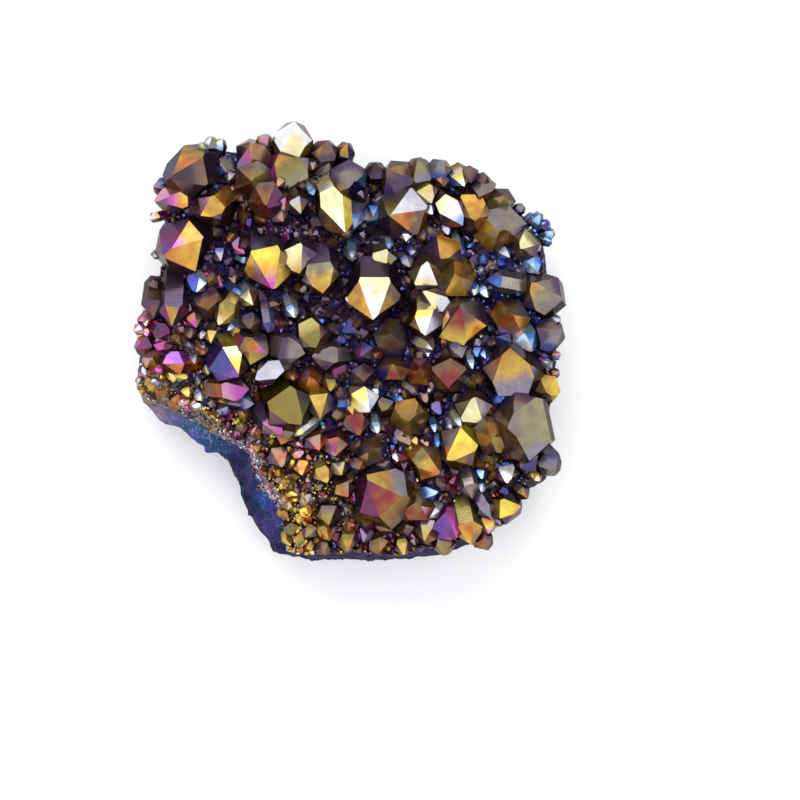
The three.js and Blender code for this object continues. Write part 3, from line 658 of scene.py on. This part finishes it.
large = Heap()
placed = []     # tip, width and planes of each
for x, y, width, leans_to, lean, turn, off_axis, lift, tones in CRYSTALS:
    # its chances hang on its place alone, so that a change to one crystal leaves the others be
    key = math.floor(10 * x + 0.5) + 1000 * math.floor(10 * y + 0.5)
    rise = RISE_AT_NOTHING + RISE_OF_WIDTH * width + lift
    tip = (x, y, float(bed_height(x, y)[0]) + rise)
    length = (rise + ROOT_DEPTH) / math.cos(math.radians(lean))
    corners, faces, along = crystal(tip, width, leans_to, lean, turn, off_axis, length, key)
    large.put(corners, faces, along, shade_faces(corners, faces, tones, key))
    planes = np.tile(CUTS_NOTHING, (PLANES, 1))
    for number, (_, normal, on) in enumerate(faces):
        planes[number] = (*normal, normal @ corners[on[0]])
    placed.append((*tip, width, planes))
aura_crystals = large.mesh("aura_crystals")
print("placed crystals:", len(large.faces), "faces")

# %% [markdown]
# No crystal edge is perfectly sharp. A chamfer of a twentieth of a millimetre along every edge
# catches the light as a bright line. The bevel modifier does it to every edge at once.

# %% Edges that catch the light
CHAMFER, SHARP_FROM = 0.05, 12     # millimetres and degrees

bevel = aura_crystals.modifiers.new("worn edges", "BEVEL")
bevel.width = CHAMFER * MM
bevel.segments = 1
bevel.limit_method = "ANGLE"
bevel.angle_limit = math.radians(SHARP_FROM)
print("edges of the placed crystals:", len(aura_crystals.data.edges))

# %% [markdown]
# ## The druse between them
#
# The gaps are lined with small crystals, from two and a half millimetres wide down to a quarter
# of one. There are thousands, so they come from eight patterns that are scaled, leant and turned
# by chance. The tones change from place to place: blue and violet deep in the gaps, gold and tan
# at the near left. A list of patches says which letters may be drawn where.

# %% Where the small crystals take which tones
# x, y, reach, tones of the larger ones, tones of the finer ones
# w among the finer tones paints white glints
PATCHES = [
    (-19, -6.5, 4.5, "tgbahPr", "ttagYPbwtm"), (-14, -10, 3, "abtrgp", "agbtPYmr"),
    (-9.5, -16, 4, "tbPrat", "PtbYarwb"), (-7, -20.5, 3.2, "gayl", "gyYGlya"),
    (-3, -20, 3, "btnra", "btaneb"),
    (-17, 23.5, 3, "idkth", "iukisuid"), (-25, 1, 3.2, "Pmmvpm", "PmmwPmv"),
    (-24, 12, 5, "ndpbd", "ndpimhbd"), (-10, 17, 4, "nndpb", "nppnbPkr"), (26.5, -4, 2, "PtPL", "PtPL"),
    (22, 14, 4, "uhidts", "uuisuiwd"), (0, 8, 9, "kknkdkni", "iidkdkun"), (18, 5, 6, "dnthdiu", "iuukisdw"),
    (8, -8, 8, "nnkbtnrk", "kdinduvd"), (20, -17, 5, "nbtdla", "nbigadou"), (6, -20, 6, "nbprtd", "nbprgid"),
    (-12, 8, 6, "dndnpbtd", "divkindpu"), (4, 18, 7, "kntdnln", "idkundwi"),
    (-18, 4, 5, "nbtdpdn", "dnpivbd"),
]
LARGER, FINER = 3, 4     # where a patch has the tones of the larger ones, and of the finer ones
PATTERNS, LENGTH_IN_WIDTHS = 8, 1.6

rng = np.random.default_rng(7)
patterns = [crystal((0, 0, 0), 1, 0, 0, 0, off_axis=0.1 * i, length=LENGTH_IN_WIDTHS, key=31 + 17 * i)
            for i in range(PATTERNS)]


def tone_at(x, y, listed):
    """A letter by chance from the patches that lie near a place."""
    away = [((x - px) ** 2 + (y - py) ** 2) / size ** 2 for px, py, size, *_ in PATCHES]
    weights = np.exp(-np.array(away)) + ROUNDING
    letters = PATCHES[rng.choice(len(PATCHES), p=weights / weights.sum())][listed]
    return letters[rng.integers(len(letters))]


print("patterns:", len(patterns), "patches:", len(PATCHES))

# %% [markdown]
# A small crystal may not hide the tip of a placed one, nor stick out of its side. So its place
# is tested first, and those that would are left out.

# %% Keep the placed crystals clear
PLACED_TIPS = np.array([p[:4] for p in placed])
PLACED_PLANES = np.array([p[4] for p in placed])
TIP_GUARD, OWN_GUARD = 0.3, 0.4     # room about a placed tip, in its width and in the small one's
HEIGHT_GUARD = 1.2                  # a placed tip that stands this much higher isn't hidden
TESTED_AT = (0, 0.6, 1)             # points of a small crystal, in widths down from its tip


def is_clear(x, y, z, width, leans_to, lean):
    """True where a small crystal covers no placed tip and doesn't grow out of a placed crystal."""
    apart = np.hypot(PLACED_TIPS[:, 0] - x, PLACED_TIPS[:, 1] - y)
    guard = TIP_GUARD * PLACED_TIPS[:, 3] + OWN_GUARD * width
    if ((apart < guard) & (PLACED_TIPS[:, 2] < z + HEIGHT_GUARD)).any():
        return False
    tip = np.array([x, y, z])
    over = math.sin(lean)
    axis = np.array([over * math.cos(leans_to), over * math.sin(leans_to), math.cos(lean)])
    for depth in TESTED_AT:
        spot = tip - depth * width * axis
        if (PLACED_PLANES[..., :3] @ spot <= PLACED_PLANES[..., 3]).all(axis=1).any():
            return False
    return True


print("crystals to stay clear of:", len(placed))

# %% [markdown]
# A small crystal is a pattern that is turned about its own axis, leant over, swung round, scaled
# and moved to its tip. Each face's light is drawn anew, so that no two crystals look the same, and its
# sides are given painted shade.

# %% Grow one small crystal
# painted shade: the sides of a small crystal are darker
SMALL_SIDE_PAINTED_SHADE = 0.7
FULL_RANGE = (0.55, 1.4)     # least and most light of a face


def sprout(heap, x, y, z, width, leans_to, lean, tone, light_range=FULL_RANGE):
    """Adds one small crystal whose tip is at x, y, z."""
    corners, faces, along = patterns[rng.integers(len(patterns))]
    own_turn = rng.uniform(0, 2 * math.pi)
    place = (turned(leans_to) @ leant(lean) @ turned(own_turn)).T
    colours = np.array(three_tones(tone))
    shades = []
    for kind, _, on in faces:
        light = rng.uniform(*light_range) * (SMALL_SIDE_PAINTED_SHADE if kind[0] == "side" else 1)
        height = (corners @ place)[on][:, 2]
        share = (height - height.min()) / max(TINY, height.max() - height.min())
        shades.append((colours * light, share))
    heap.put(corners @ place * width + np.array([x, y, z]), faces, along * width, shades)


# %% [markdown]
# Crystals are sown on a grid whose places are shaken by chance. Two layers make the druse and a
# third, the finest, fills in between as grit. Toward the rim they lean outward, and near the
# bare wall they are finer.

# %% Sow the bed
FIELD = 28                                     # the grid's half width
# spacing, smallest and largest width, how far the tips rise, tones, range of painted light and shade of each
# face, overhang at the edge
DRUSE_LAYERS = [(1.0, 1.2, 2.6, 0.65, LARGER, FULL_RANGE, 0), (0.62, 0.4, 1.1, 0.45, FINER, (0.45, 1.3), 0.3)]
# painted shade: the grit lies deepest in the gaps, so its faces are kept darker
GRIT_LAYERS = [(0.5, 0.3, 0.6, 0.25, FINER, (0.5, 1.2), 0.3)]
RISE_OF_SMALL = 0.4                            # and how much of its width a tip rises besides
WALL_X, WALL_Y, SMALLER = -4, -6, 0.7          # left of and nearer than these, all are smaller
RIM_FROM, RIM_WIDTH = 0.85, 0.15               # shares of the way out
LEAST_LEAN, MOST_LEAN, RIM_LEAN = 5, 38, 20    # degrees, and what the rim adds
OUTWARD_FROM, FAN = 0.3, 0.5                   # share of the rim, and radians about straight outward


def sow_place(heap, x, y, smallest, largest, above, listed, light_range, overhang):
    """Grows one crystal at a place, if the place is on the bed and free."""
    angle = math.atan2(y, x)
    edge = reach(BED_EDGE, np.array([angle]))[0]
    if math.hypot(x, y) > edge + overhang:
        return
    width = smallest + (largest - smallest) * rng.random() ** 2
    if y < WALL_Y and x < WALL_X:
        width *= SMALLER
    outward = max(0, math.hypot(x, y) / edge - RIM_FROM) / RIM_WIDTH
    lean = math.radians(rng.uniform(LEAST_LEAN, MOST_LEAN) + RIM_LEAN * outward)
    leans_to = angle + rng.normal(0, FAN) if outward > OUTWARD_FROM else rng.uniform(0, 2 * math.pi)
    z = float(bed_height(x, y)[0]) + above + RISE_OF_SMALL * width
    if is_clear(x, y, z, width, leans_to, lean):
        sprout(heap, x, y, z, width, leans_to, lean, tone_at(x, y, listed), light_range)


def sow(name, layers):
    """One mesh of all the crystals of some layers."""
    heap = Heap()
    for step, *layer in layers:
        steps = np.arange(-FIELD, FIELD, step)
        for gy in steps:
            for gx in steps:
                x, y = gx + rng.uniform(-0.5, 0.5) * step, gy + rng.uniform(-0.5, 0.5) * step
                sow_place(heap, x, y, *layer)
    print(name, len(heap.points), "crystals with", len(heap.faces), "faces")
    return heap.mesh(name)


bed_druse = sow("bed_druse", DRUSE_LAYERS)
bed_grit = sow("bed_grit", GRIT_LAYERS)

# %% [markdown]
# Where the bare wall begins, the film covers a rime of very fine crystals that lean outward. It
# reaches furthest down at the left, where it is tan. Toward the near side it is narrower, and a
# lilac grey.

# %% A rime of fine crystals over the top of the bare wall
RIME_COUNT = 1500
RIME_FROM, LEFT_ENDS, RIME_TO = 194, 214, 255     # directions from the middle, in degrees
LEFT_DOWN, NEAR_DOWN = 0.3, 0.18                  # how far down the wall it reaches, as a share
LEFT_TONES, NEAR_TONES = "tbleten", "thLhdtP"
RIME_RISE = 0.1                                   # of the tips above the wall
RIME_WIDTHS, RIME_LEANS = (0.25, 0.6), (0.5, 1.3)     # millimetres and radians

rime = Heap()
for _ in range(RIME_COUNT):
    angle = math.radians(rng.uniform(RIME_FROM, RIME_TO))
    left = angle < math.radians(LEFT_ENDS)
    down = (LEFT_DOWN if left else NEAR_DOWN) * rng.random() ** 2
    edge, foot = (reach(outline, np.array([angle]))[0] for outline in (BED_EDGE, ROCK_FOOT))
    r = edge + (foot - edge) * wall_bulge(down)
    x, y, z = r * math.cos(angle), r * math.sin(angle), BED_LEVEL + (FOOT_LEVEL - BED_LEVEL) * down
    tone = rng.choice(list(LEFT_TONES if left else NEAR_TONES))
    width, leans_to, lean = rng.uniform(*RIME_WIDTHS), angle + rng.normal(0, FAN), rng.uniform(*RIME_LEANS)
    sprout(rime, x, y, z + RIME_RISE, width, leans_to, lean, tone)
wall_rime = rime.mesh("wall_rime")
print("wall_rime", len(rime.points), "crystals with", len(rime.faces), "faces")

# %% [markdown]
# ## The rock itself
#
# The film lies on the bare rock too, as stains: mauve grey and then blue at the left end of the
# bare wall, dark indigo toward the near side, and dusky violet all round. Each point of the rock
# will carry a colour of its own, blended from this short list.

# %% The rock's stains
# x, y, reach, colour, share of pale flecks
STAINS = [
    (-25.5, -8.2, 2.6, "#8A7280", 0.7), (-22, -9.4, 2, "#465090", 0.8), (-18.6, -10.4, 1.8, "#2C4E94", 1.0),
    (-16.8, -12.6, 1.7, "#203C82", 0.8), (-15.3, -16.2, 2.4, "#17173C", 0), (-13.6, -19.5, 2.8, "#131236", 0),
    (-12.6, -23.5, 2.8, "#18153A", 0.1), (-10.9, -19.9, 1.2, "#1E56B4", 0.5),
    (-9.9, -23, 1.8, "#34307A", 0.5), (-12.2, -16.5, 1.2, "#34346E", 0.4), (-9.5, -27, 2.5, "#1C1840", 0.2),
    (0, -28, 7, "#2A2240", 0.2), (22, -20, 8, "#2A2234", 0.1), (25, 2, 12, "#282434", 0.1),
    (0, 24, 16, "#1C1A38", 0.1), (-25, 12, 8, "#281E36", 0.1), (0, 0, 15, "#3A3064", 0),
]


def stain_at(x, y):
    """Colour of the rock at a point, with the share of pale flecks in its last place."""
    away = np.array([((x - sx) ** 2 + (y - sy) ** 2) / size ** 2 for sx, sy, size, *_ in STAINS])
    weights = np.exp(-away) + TINY
    return weights @ np.array([(*srgb(code), flecks) for *_, code, flecks in STAINS]) / weights.sum()


print("stains of the rock:", len(STAINS))

# %% [markdown]
# The rock is a closed skin of rings: bed, wall, foot, chipped ring and flat base. It could be
# sculpted, but rings follow the two outlines exactly. Noise pushes their points in and out by a
# fraction of a millimetre, which gives the lumps and the grain of a break.

# %% Rings of the rock
AROUND, BED_RINGS, WALL_RINGS = 420, 26, 22
BED_FROM, WALL_FROM = 0.04, 0.06     # where the first ring of each is, as a share of the way
FOOT_RINGS = [(0.975, 2.6), (0.93, CHAMFER_LEVEL), (0.87, 0.6), (0.8, 0.0)]     # share of the reach, height
LUMP, GRAIN = 20 / 11, 10 / 23     # widths in millimetres: a length, over how many lie along it
LUMP_HEIGHT, GRAIN_HEIGHT, LAYERS = 0.34, 0.22, 4     # the lumps' noise has four layers of detail
UP_ON_WALL, UP_ON_BED = 0.5, 0.3     # share of a push that goes upward
LEAST_REACH = 6.0     # a push moves points nearer to the middle than this by less

angles = np.linspace(0, 2 * math.pi, AROUND, endpoint=False)
foot_reach, edge_reach = reach(ROCK_FOOT, angles), reach(BED_EDGE, angles)
rings = [(edge_reach * s, bed_height(edge_reach * s * np.cos(angles), edge_reach * s * np.sin(angles)))
         for s in np.linspace(BED_FROM, 1, BED_RINGS)]
for s in np.linspace(WALL_FROM, 1, WALL_RINGS):
    level = BED_LEVEL + (FOOT_LEVEL - BED_LEVEL) * s
    rings.append((edge_reach + (foot_reach - edge_reach) * wall_bulge(s), np.full(AROUND, level)))
rings += [(foot_reach * share, np.full(AROUND, level)) for share, level in FOOT_RINGS]
points = []
for number, (r, z) in enumerate(rings):
    ring = np.stack([r * np.cos(angles), r * np.sin(angles), z], axis=1)
    if number < len(rings) - 1:
        for p in ring:
            q = Vector(p)
            lumps = LUMP_HEIGHT * noise.turbulence(q * (1 / LUMP), LAYERS, False) - LUMP_HEIGHT
            push = lumps + GRAIN_HEIGHT * noise.noise(q * (1 / GRAIN))
            p[:2] *= 1 + push / max(LEAST_REACH, math.hypot(p[0], p[1]))
            p[2] += (UP_ON_WALL if number >= BED_RINGS - 1 else UP_ON_BED) * push
    points.append(ring)
points = np.concatenate(points + [np.array([[0, 0, float(bed_height(0, 0)[0])], [0, 0, 0]])])
print("rock:", len(rings), "rings of", AROUND, "points")

# %% [markdown]
# Four-sided faces join each ring to the next. Two fans of triangles close the skin, one in the
# middle of the bed and one in the middle of the base.

# %% Skin of the rock
faces = []
last = len(rings) - 1
for i in range(AROUND):
    j = (i + 1) % AROUND
    faces.append((len(points) - 2, i, j))
    faces.append((len(points) - 1, last * AROUND + j, last * AROUND + i))
    for k in range(last):
        faces.append((k * AROUND + i, (k + 1) * AROUND + i, (k + 1) * AROUND + j, k * AROUND + j))
rock_mesh = bpy.data.meshes.new("host_rock")
rock_mesh.from_pydata(metres(points).tolist(), [], faces)
stains = np.array([stain_at(x, y) for x, y, _ in points], np.float32)
rock_mesh.attributes.new("stain", "FLOAT_COLOR", "POINT").data.foreach_set("color", stains.ravel())
host_rock = bpy.data.objects.new("host_rock", rock_mesh)
bpy.context.scene.collection.objects.link(host_rock)
print("rock:", len(faces), "faces")

# %% [markdown]
# ## Titanium film on quartz
#
# The film is titanium and its oxide, laid down from vapour on smooth crystal faces. It mirrors
# as a metal does, so Metallic is near one and the roughness is low. What is left stands for the
# light that the quartz under it gives back. The colour is blended between the three that each
# face carries, and the bands bend, since the vapour reached no face evenly.
#
# Growth lines cross the sides. Most real ones are too fine to show, so they are drawn a quarter
# of a millimetre apart. The tips undulate very gently. The small crystals have the same film,
# but a smoother one, whose hue changes more, so that they glitter.

# %% The coated crystals' finish
# widths in millimetres: a length, over how many lie along it
FILM_PATCH, FACE_SWELL, GROWTH_LINE = 20 / 13, 10 / 14, 1 / 4
RELIEF = 0.06     # height of the lines and the swell, in millimetres
SLANT_TINT = "#A0958E"     # it browns and dims what a face mirrors at a slant


def coated_quartz(name, roughness, unevenness):
    """The film, with its mean roughness and how far its hue strays either way."""
    film = new_material(name)
    place = add(film, "ShaderNodeNewGeometry")
    foot, middle, tip, share, along, side = (
        add(film, "ShaderNodeAttribute", {"attribute_name": title})
        for title in ("foot_tone_and_painted_light", "middle_tone_and_painted_light", "tip_tone_and_painted_light", "share", "along", "side"))
    # the film is a little thicker here and thinner there
    patchy = add(film, "ShaderNodeTexNoise", Vector=place.outputs["Position"], Scale=scale_for(FILM_PATCH),
                 Detail=3.0)
    hue = add(film, "ShaderNodeMapRange", Value=patchy.outputs["Fac"], From_Min=0.3, From_Max=0.7,
              To_Min=0.5 - unevenness, To_Max=0.5 + unevenness)
    depth = add(film, "ShaderNodeMapRange", Value=patchy.outputs["Fac"], From_Min=0.25, From_Max=0.75,
                To_Min=0.8, To_Max=1.2)
    # the bands of colour bend: the share of the way up is pushed about by the same noise
    bent = add(film, "ShaderNodeMath", {"operation": "MULTIPLY_ADD"}, i0=patchy.outputs["Fac"], i1=0.5,
               i2=share.outputs["Fac"])
    low = add(film, "ShaderNodeMapRange", {"interpolation_type": "SMOOTHSTEP"}, Value=bent.outputs[0],
              From_Min=0.4, From_Max=0.8)
    high = add(film, "ShaderNodeMapRange", {"interpolation_type": "SMOOTHSTEP"}, Value=bent.outputs[0],
               From_Min=0.75, From_Max=1.15)
    lower = add(film, "ShaderNodeMix", {"data_type": "RGBA"}, Factor=low.outputs[0], i6=foot.outputs["Color"],
                i7=middle.outputs["Color"])
    coat = add(film, "ShaderNodeMix", {"data_type": "RGBA"}, Factor=high.outputs[0], i6=lower.outputs[2],
               i7=tip.outputs["Color"])
    tint = add(film, "ShaderNodeHueSaturation", Color=coat.outputs[2], Hue=hue.outputs[0], Saturation=0.97,
               Value=depth.outputs[0])
    # growth lines across the prism; along counts in millimetres
    lines = add(film, "ShaderNodeTexNoise", {"noise_dimensions": "1D"}, W=along.outputs["Fac"],
                Scale=1 / GROWTH_LINE, Detail=2.0)
    mask = add(film, "ShaderNodeMath", {"operation": "MULTIPLY"}, i0=lines.outputs["Fac"],
               i1=side.outputs["Fac"])
    swell = add(film, "ShaderNodeTexNoise", Vector=place.outputs["Position"], Scale=scale_for(FACE_SWELL),
                Detail=2.0)
    relief = add(film, "ShaderNodeMath", {"operation": "MULTIPLY_ADD"}, i0=swell.outputs["Fac"], i1=0.25,
                 i2=mask.outputs[0])
    bump = add(film, "ShaderNodeBump", Height=relief.outputs[0], Strength=0.25, Distance=RELIEF * MM)
    rough = add(film, "ShaderNodeMapRange", Value=patchy.outputs["Fac"], From_Min=0.3, From_Max=0.7,
                To_Min=roughness * 0.8, To_Max=roughness * 1.3)
    # a trace of clear coat leaves a sharp glint on top of the softer mirror
    skin = add(film, "ShaderNodeBsdfPrincipled", Base_Color=tint.outputs["Color"], Metallic=0.85,
               Roughness=rough.outputs[0], Specular_Tint=(*srgb(SLANT_TINT), 1), Coat_Weight=0.06,
               Coat_Roughness=0.06, Normal=bump.outputs["Normal"])
    add(film, "ShaderNodeOutputMaterial", Surface=skin.outputs[0])
    return film


titanium_film = coated_quartz("titanium_film", roughness=0.2, unevenness=0.025)
fine_titanium_film = coated_quartz("fine_titanium_film", roughness=0.12, unevenness=0.05)
aura_crystals.data.materials.append(titanium_film)
for piece in (bed_druse, bed_grit, wall_rime):
    piece.data.materials.append(fine_titanium_film)
print("film: patches", round(FILM_PATCH, 2), "mm wide, growth lines", GROWTH_LINE, "mm apart")

# %% [markdown]
# The rock took the same coating, but its grain is fine and broken, so it mirrors nothing: it is
# a dull body with the film's indigo and violet on it. One noise makes each stain blotchy, in hue
# and in depth. A finer one strews it with pale flecks and raises the grain.

# %% The rock's finish
STAIN_BLOTCH, ROCK_GRAIN = 50 / 21, 10 / 17     # widths, as above
GRAIN_RELIEF = 0.25     # height of the grain, in millimetres
PALE_FLECK = "#8FA0D0"

coated_rock = new_material("coated_host_rock")
place = add(coated_rock, "ShaderNodeNewGeometry")
stain = add(coated_rock, "ShaderNodeAttribute", {"attribute_name": "stain"})
blotch = add(coated_rock, "ShaderNodeTexNoise", Vector=place.outputs["Position"],
             Scale=scale_for(STAIN_BLOTCH), Detail=5.0, Roughness=0.65)
hue = add(coated_rock, "ShaderNodeMapRange", Value=blotch.outputs["Fac"], From_Min=0.3, From_Max=0.7,
          To_Min=0.46, To_Max=0.54)
depth = add(coated_rock, "ShaderNodeMapRange", Value=blotch.outputs["Fac"], From_Min=0.3, From_Max=0.7,
            To_Min=0.15, To_Max=0.95)
blotched = add(coated_rock, "ShaderNodeHueSaturation", Color=stain.outputs["Color"], Hue=hue.outputs[0],
               Value=depth.outputs[0])
grit = add(coated_rock, "ShaderNodeTexNoise", Vector=place.outputs["Position"],
           Scale=scale_for(ROCK_GRAIN), Detail=4.0, Roughness=0.7, Distortion=1.5)
pale = add(coated_rock, "ShaderNodeMapRange", Value=grit.outputs["Fac"], From_Min=0.55, From_Max=0.68,
           To_Min=0.0, To_Max=0.8)
fleck = add(coated_rock, "ShaderNodeMath", {"operation": "MULTIPLY"}, i0=pale.outputs[0],
            i1=stain.outputs["Alpha"])
flecked = add(coated_rock, "ShaderNodeMix", {"data_type": "RGBA"}, Factor=fleck.outputs[0],
              i6=blotched.outputs["Color"], i7=(*srgb(PALE_FLECK), 1))
bump = add(coated_rock, "ShaderNodeBump", Height=grit.outputs["Fac"], Strength=0.8,
           Distance=GRAIN_RELIEF * MM)
skin = add(coated_rock, "ShaderNodeBsdfPrincipled", Base_Color=flecked.outputs[2], Metallic=0.0,
           Roughness=0.6, Specular_IOR_Level=0.02, Normal=bump.outputs["Normal"])
add(coated_rock, "ShaderNodeOutputMaterial", Surface=skin.outputs[0])
host_rock.data.materials.append(coated_rock)
print("rock: blotches", round(STAIN_BLOTCH, 2), "mm wide, grain", round(ROCK_GRAIN, 2), "mm wide")

# %% [markdown]
# ## Join the pieces to the imported solid
#
# The five pieces together stand for the one imported solid, so it is hidden. Nothing on the plate
# moves, so they all ride on the same body.

# %% Ride and replace
for piece in (aura_crystals, bed_druse, bed_grit, wall_rime, host_rock):
    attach(piece, "root")
    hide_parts("quartz_cluster")
    print(piece.name, "stands in for the solid with", len(piece.data.polygons), "faces")

# %% [markdown]
# ## The studio
#
# The plate lies on a pale table of matt paper, which shows its outline and mirrors nothing. The
# fibres of the paper are too fine to show, so the sheet only undulates a little. The waves are
# about seven millimetres wide, and this noise counts across the table, not in metres.

# %% Table
TABLE, WAVE, WAVE_HEIGHT = 6, 20 / 3, 0.2     # width in metres, then millimetres

bpy.ops.mesh.primitive_plane_add(size=TABLE, location=(0, 0, 0))
table = bpy.context.object
table.name = "table"
paper = new_material("table_paper")
waves = add(paper, "ShaderNodeTexNoise", Scale=TABLE / (WAVE * MM), Detail=2.0)
bump = add(paper, "ShaderNodeBump", Height=waves.outputs["Fac"], Strength=0.03, Distance=WAVE_HEIGHT * MM)
sheet = add(paper, "ShaderNodeBsdfPrincipled", Base_Color=(*srgb("#F7F7F7"), 1), Roughness=0.8,
            Normal=bump.outputs["Normal"])
add(paper, "ShaderNodeOutputMaterial", Surface=sheet.outputs[0])
table.data.materials.append(paper)
print("table:", TABLE, "m wide")

# %% [markdown]
# A mirror shows what is round it, so the lights are large and soft: a strong one at the far side,
# two weaker ones at the near left and the right, and an even sky. Crystals that mirror each
# other have very deep darks, so the picture's gamma lifts them a little.

# %% Lights
AIM = Vector((0, 0, 0.01))
SKY_LIGHT, SKY_STRENGTH = (0.95, 0.97, 1.0, 1), 1.1
GAMMA = 1.3


def softbox(name, place, size, power):
    """A soft light at a place, in metres, that is turned to the plate."""
    lamp = bpy.data.lights.new(name, "AREA")
    lamp.shape = "RECTANGLE"
    lamp.size, lamp.size_y = size
    lamp.energy = power
    holder = bpy.data.objects.new(name, lamp)
    holder.location = place
    holder.rotation_euler = (AIM - Vector(place)).to_track_quat("-Z", "Y").to_euler()
    bpy.context.scene.collection.objects.link(holder)


softbox("key_softbox", place=(-0.1, 0.75, 0.75), size=(1.1, 0.6), power=8.0)
softbox("fill_softbox", place=(-0.8, -0.35, 0.6), size=(0.5, 0.5), power=1.8)
softbox("right_softbox", place=(0.8, -0.1, 0.7), size=(0.4, 0.4), power=1.5)

sky = bpy.data.worlds.new("studio_sky")
sky.use_nodes = True
sky.node_tree.nodes["Background"].inputs["Color"].default_value = SKY_LIGHT
sky.node_tree.nodes["Background"].inputs["Strength"].default_value = SKY_STRENGTH
bpy.context.scene.world = sky
bpy.context.scene.view_settings.view_transform = "Standard"
bpy.context.scene.view_settings.gamma = GAMMA
print("lights:", len(bpy.data.lights))

# %% [markdown]
# The camera looks straight down, from more than half a metre, through a long lens, so that
# upright crystals don't seem to lean away from the middle. Its height is worked out from how
# wide a window it sees at the level of the crystals.

# %% Camera
WINDOW, LENS, CHIP = 0.1, 200.0, 36.0     # width of the window in metres, lens and chip in millimetres
WINDOW_MIDDLE = (6.125, -7.5, 0)          # in millimetres
CRYSTAL_LEVEL, NEAREST = 0.016, 0.05      # in metres
lens = bpy.data.cameras.new("overhead")
lens.lens, lens.sensor_width, lens.clip_start = LENS, CHIP, NEAREST
overhead = bpy.data.objects.new("overhead", lens)
overhead.location = (*metres(WINDOW_MIDDLE)[:2], CRYSTAL_LEVEL + WINDOW * LENS / CHIP)
bpy.context.scene.collection.objects.link(overhead)
bpy.context.scene.camera = overhead
print("camera height, mm:", round(1000 * overhead.location[2]))
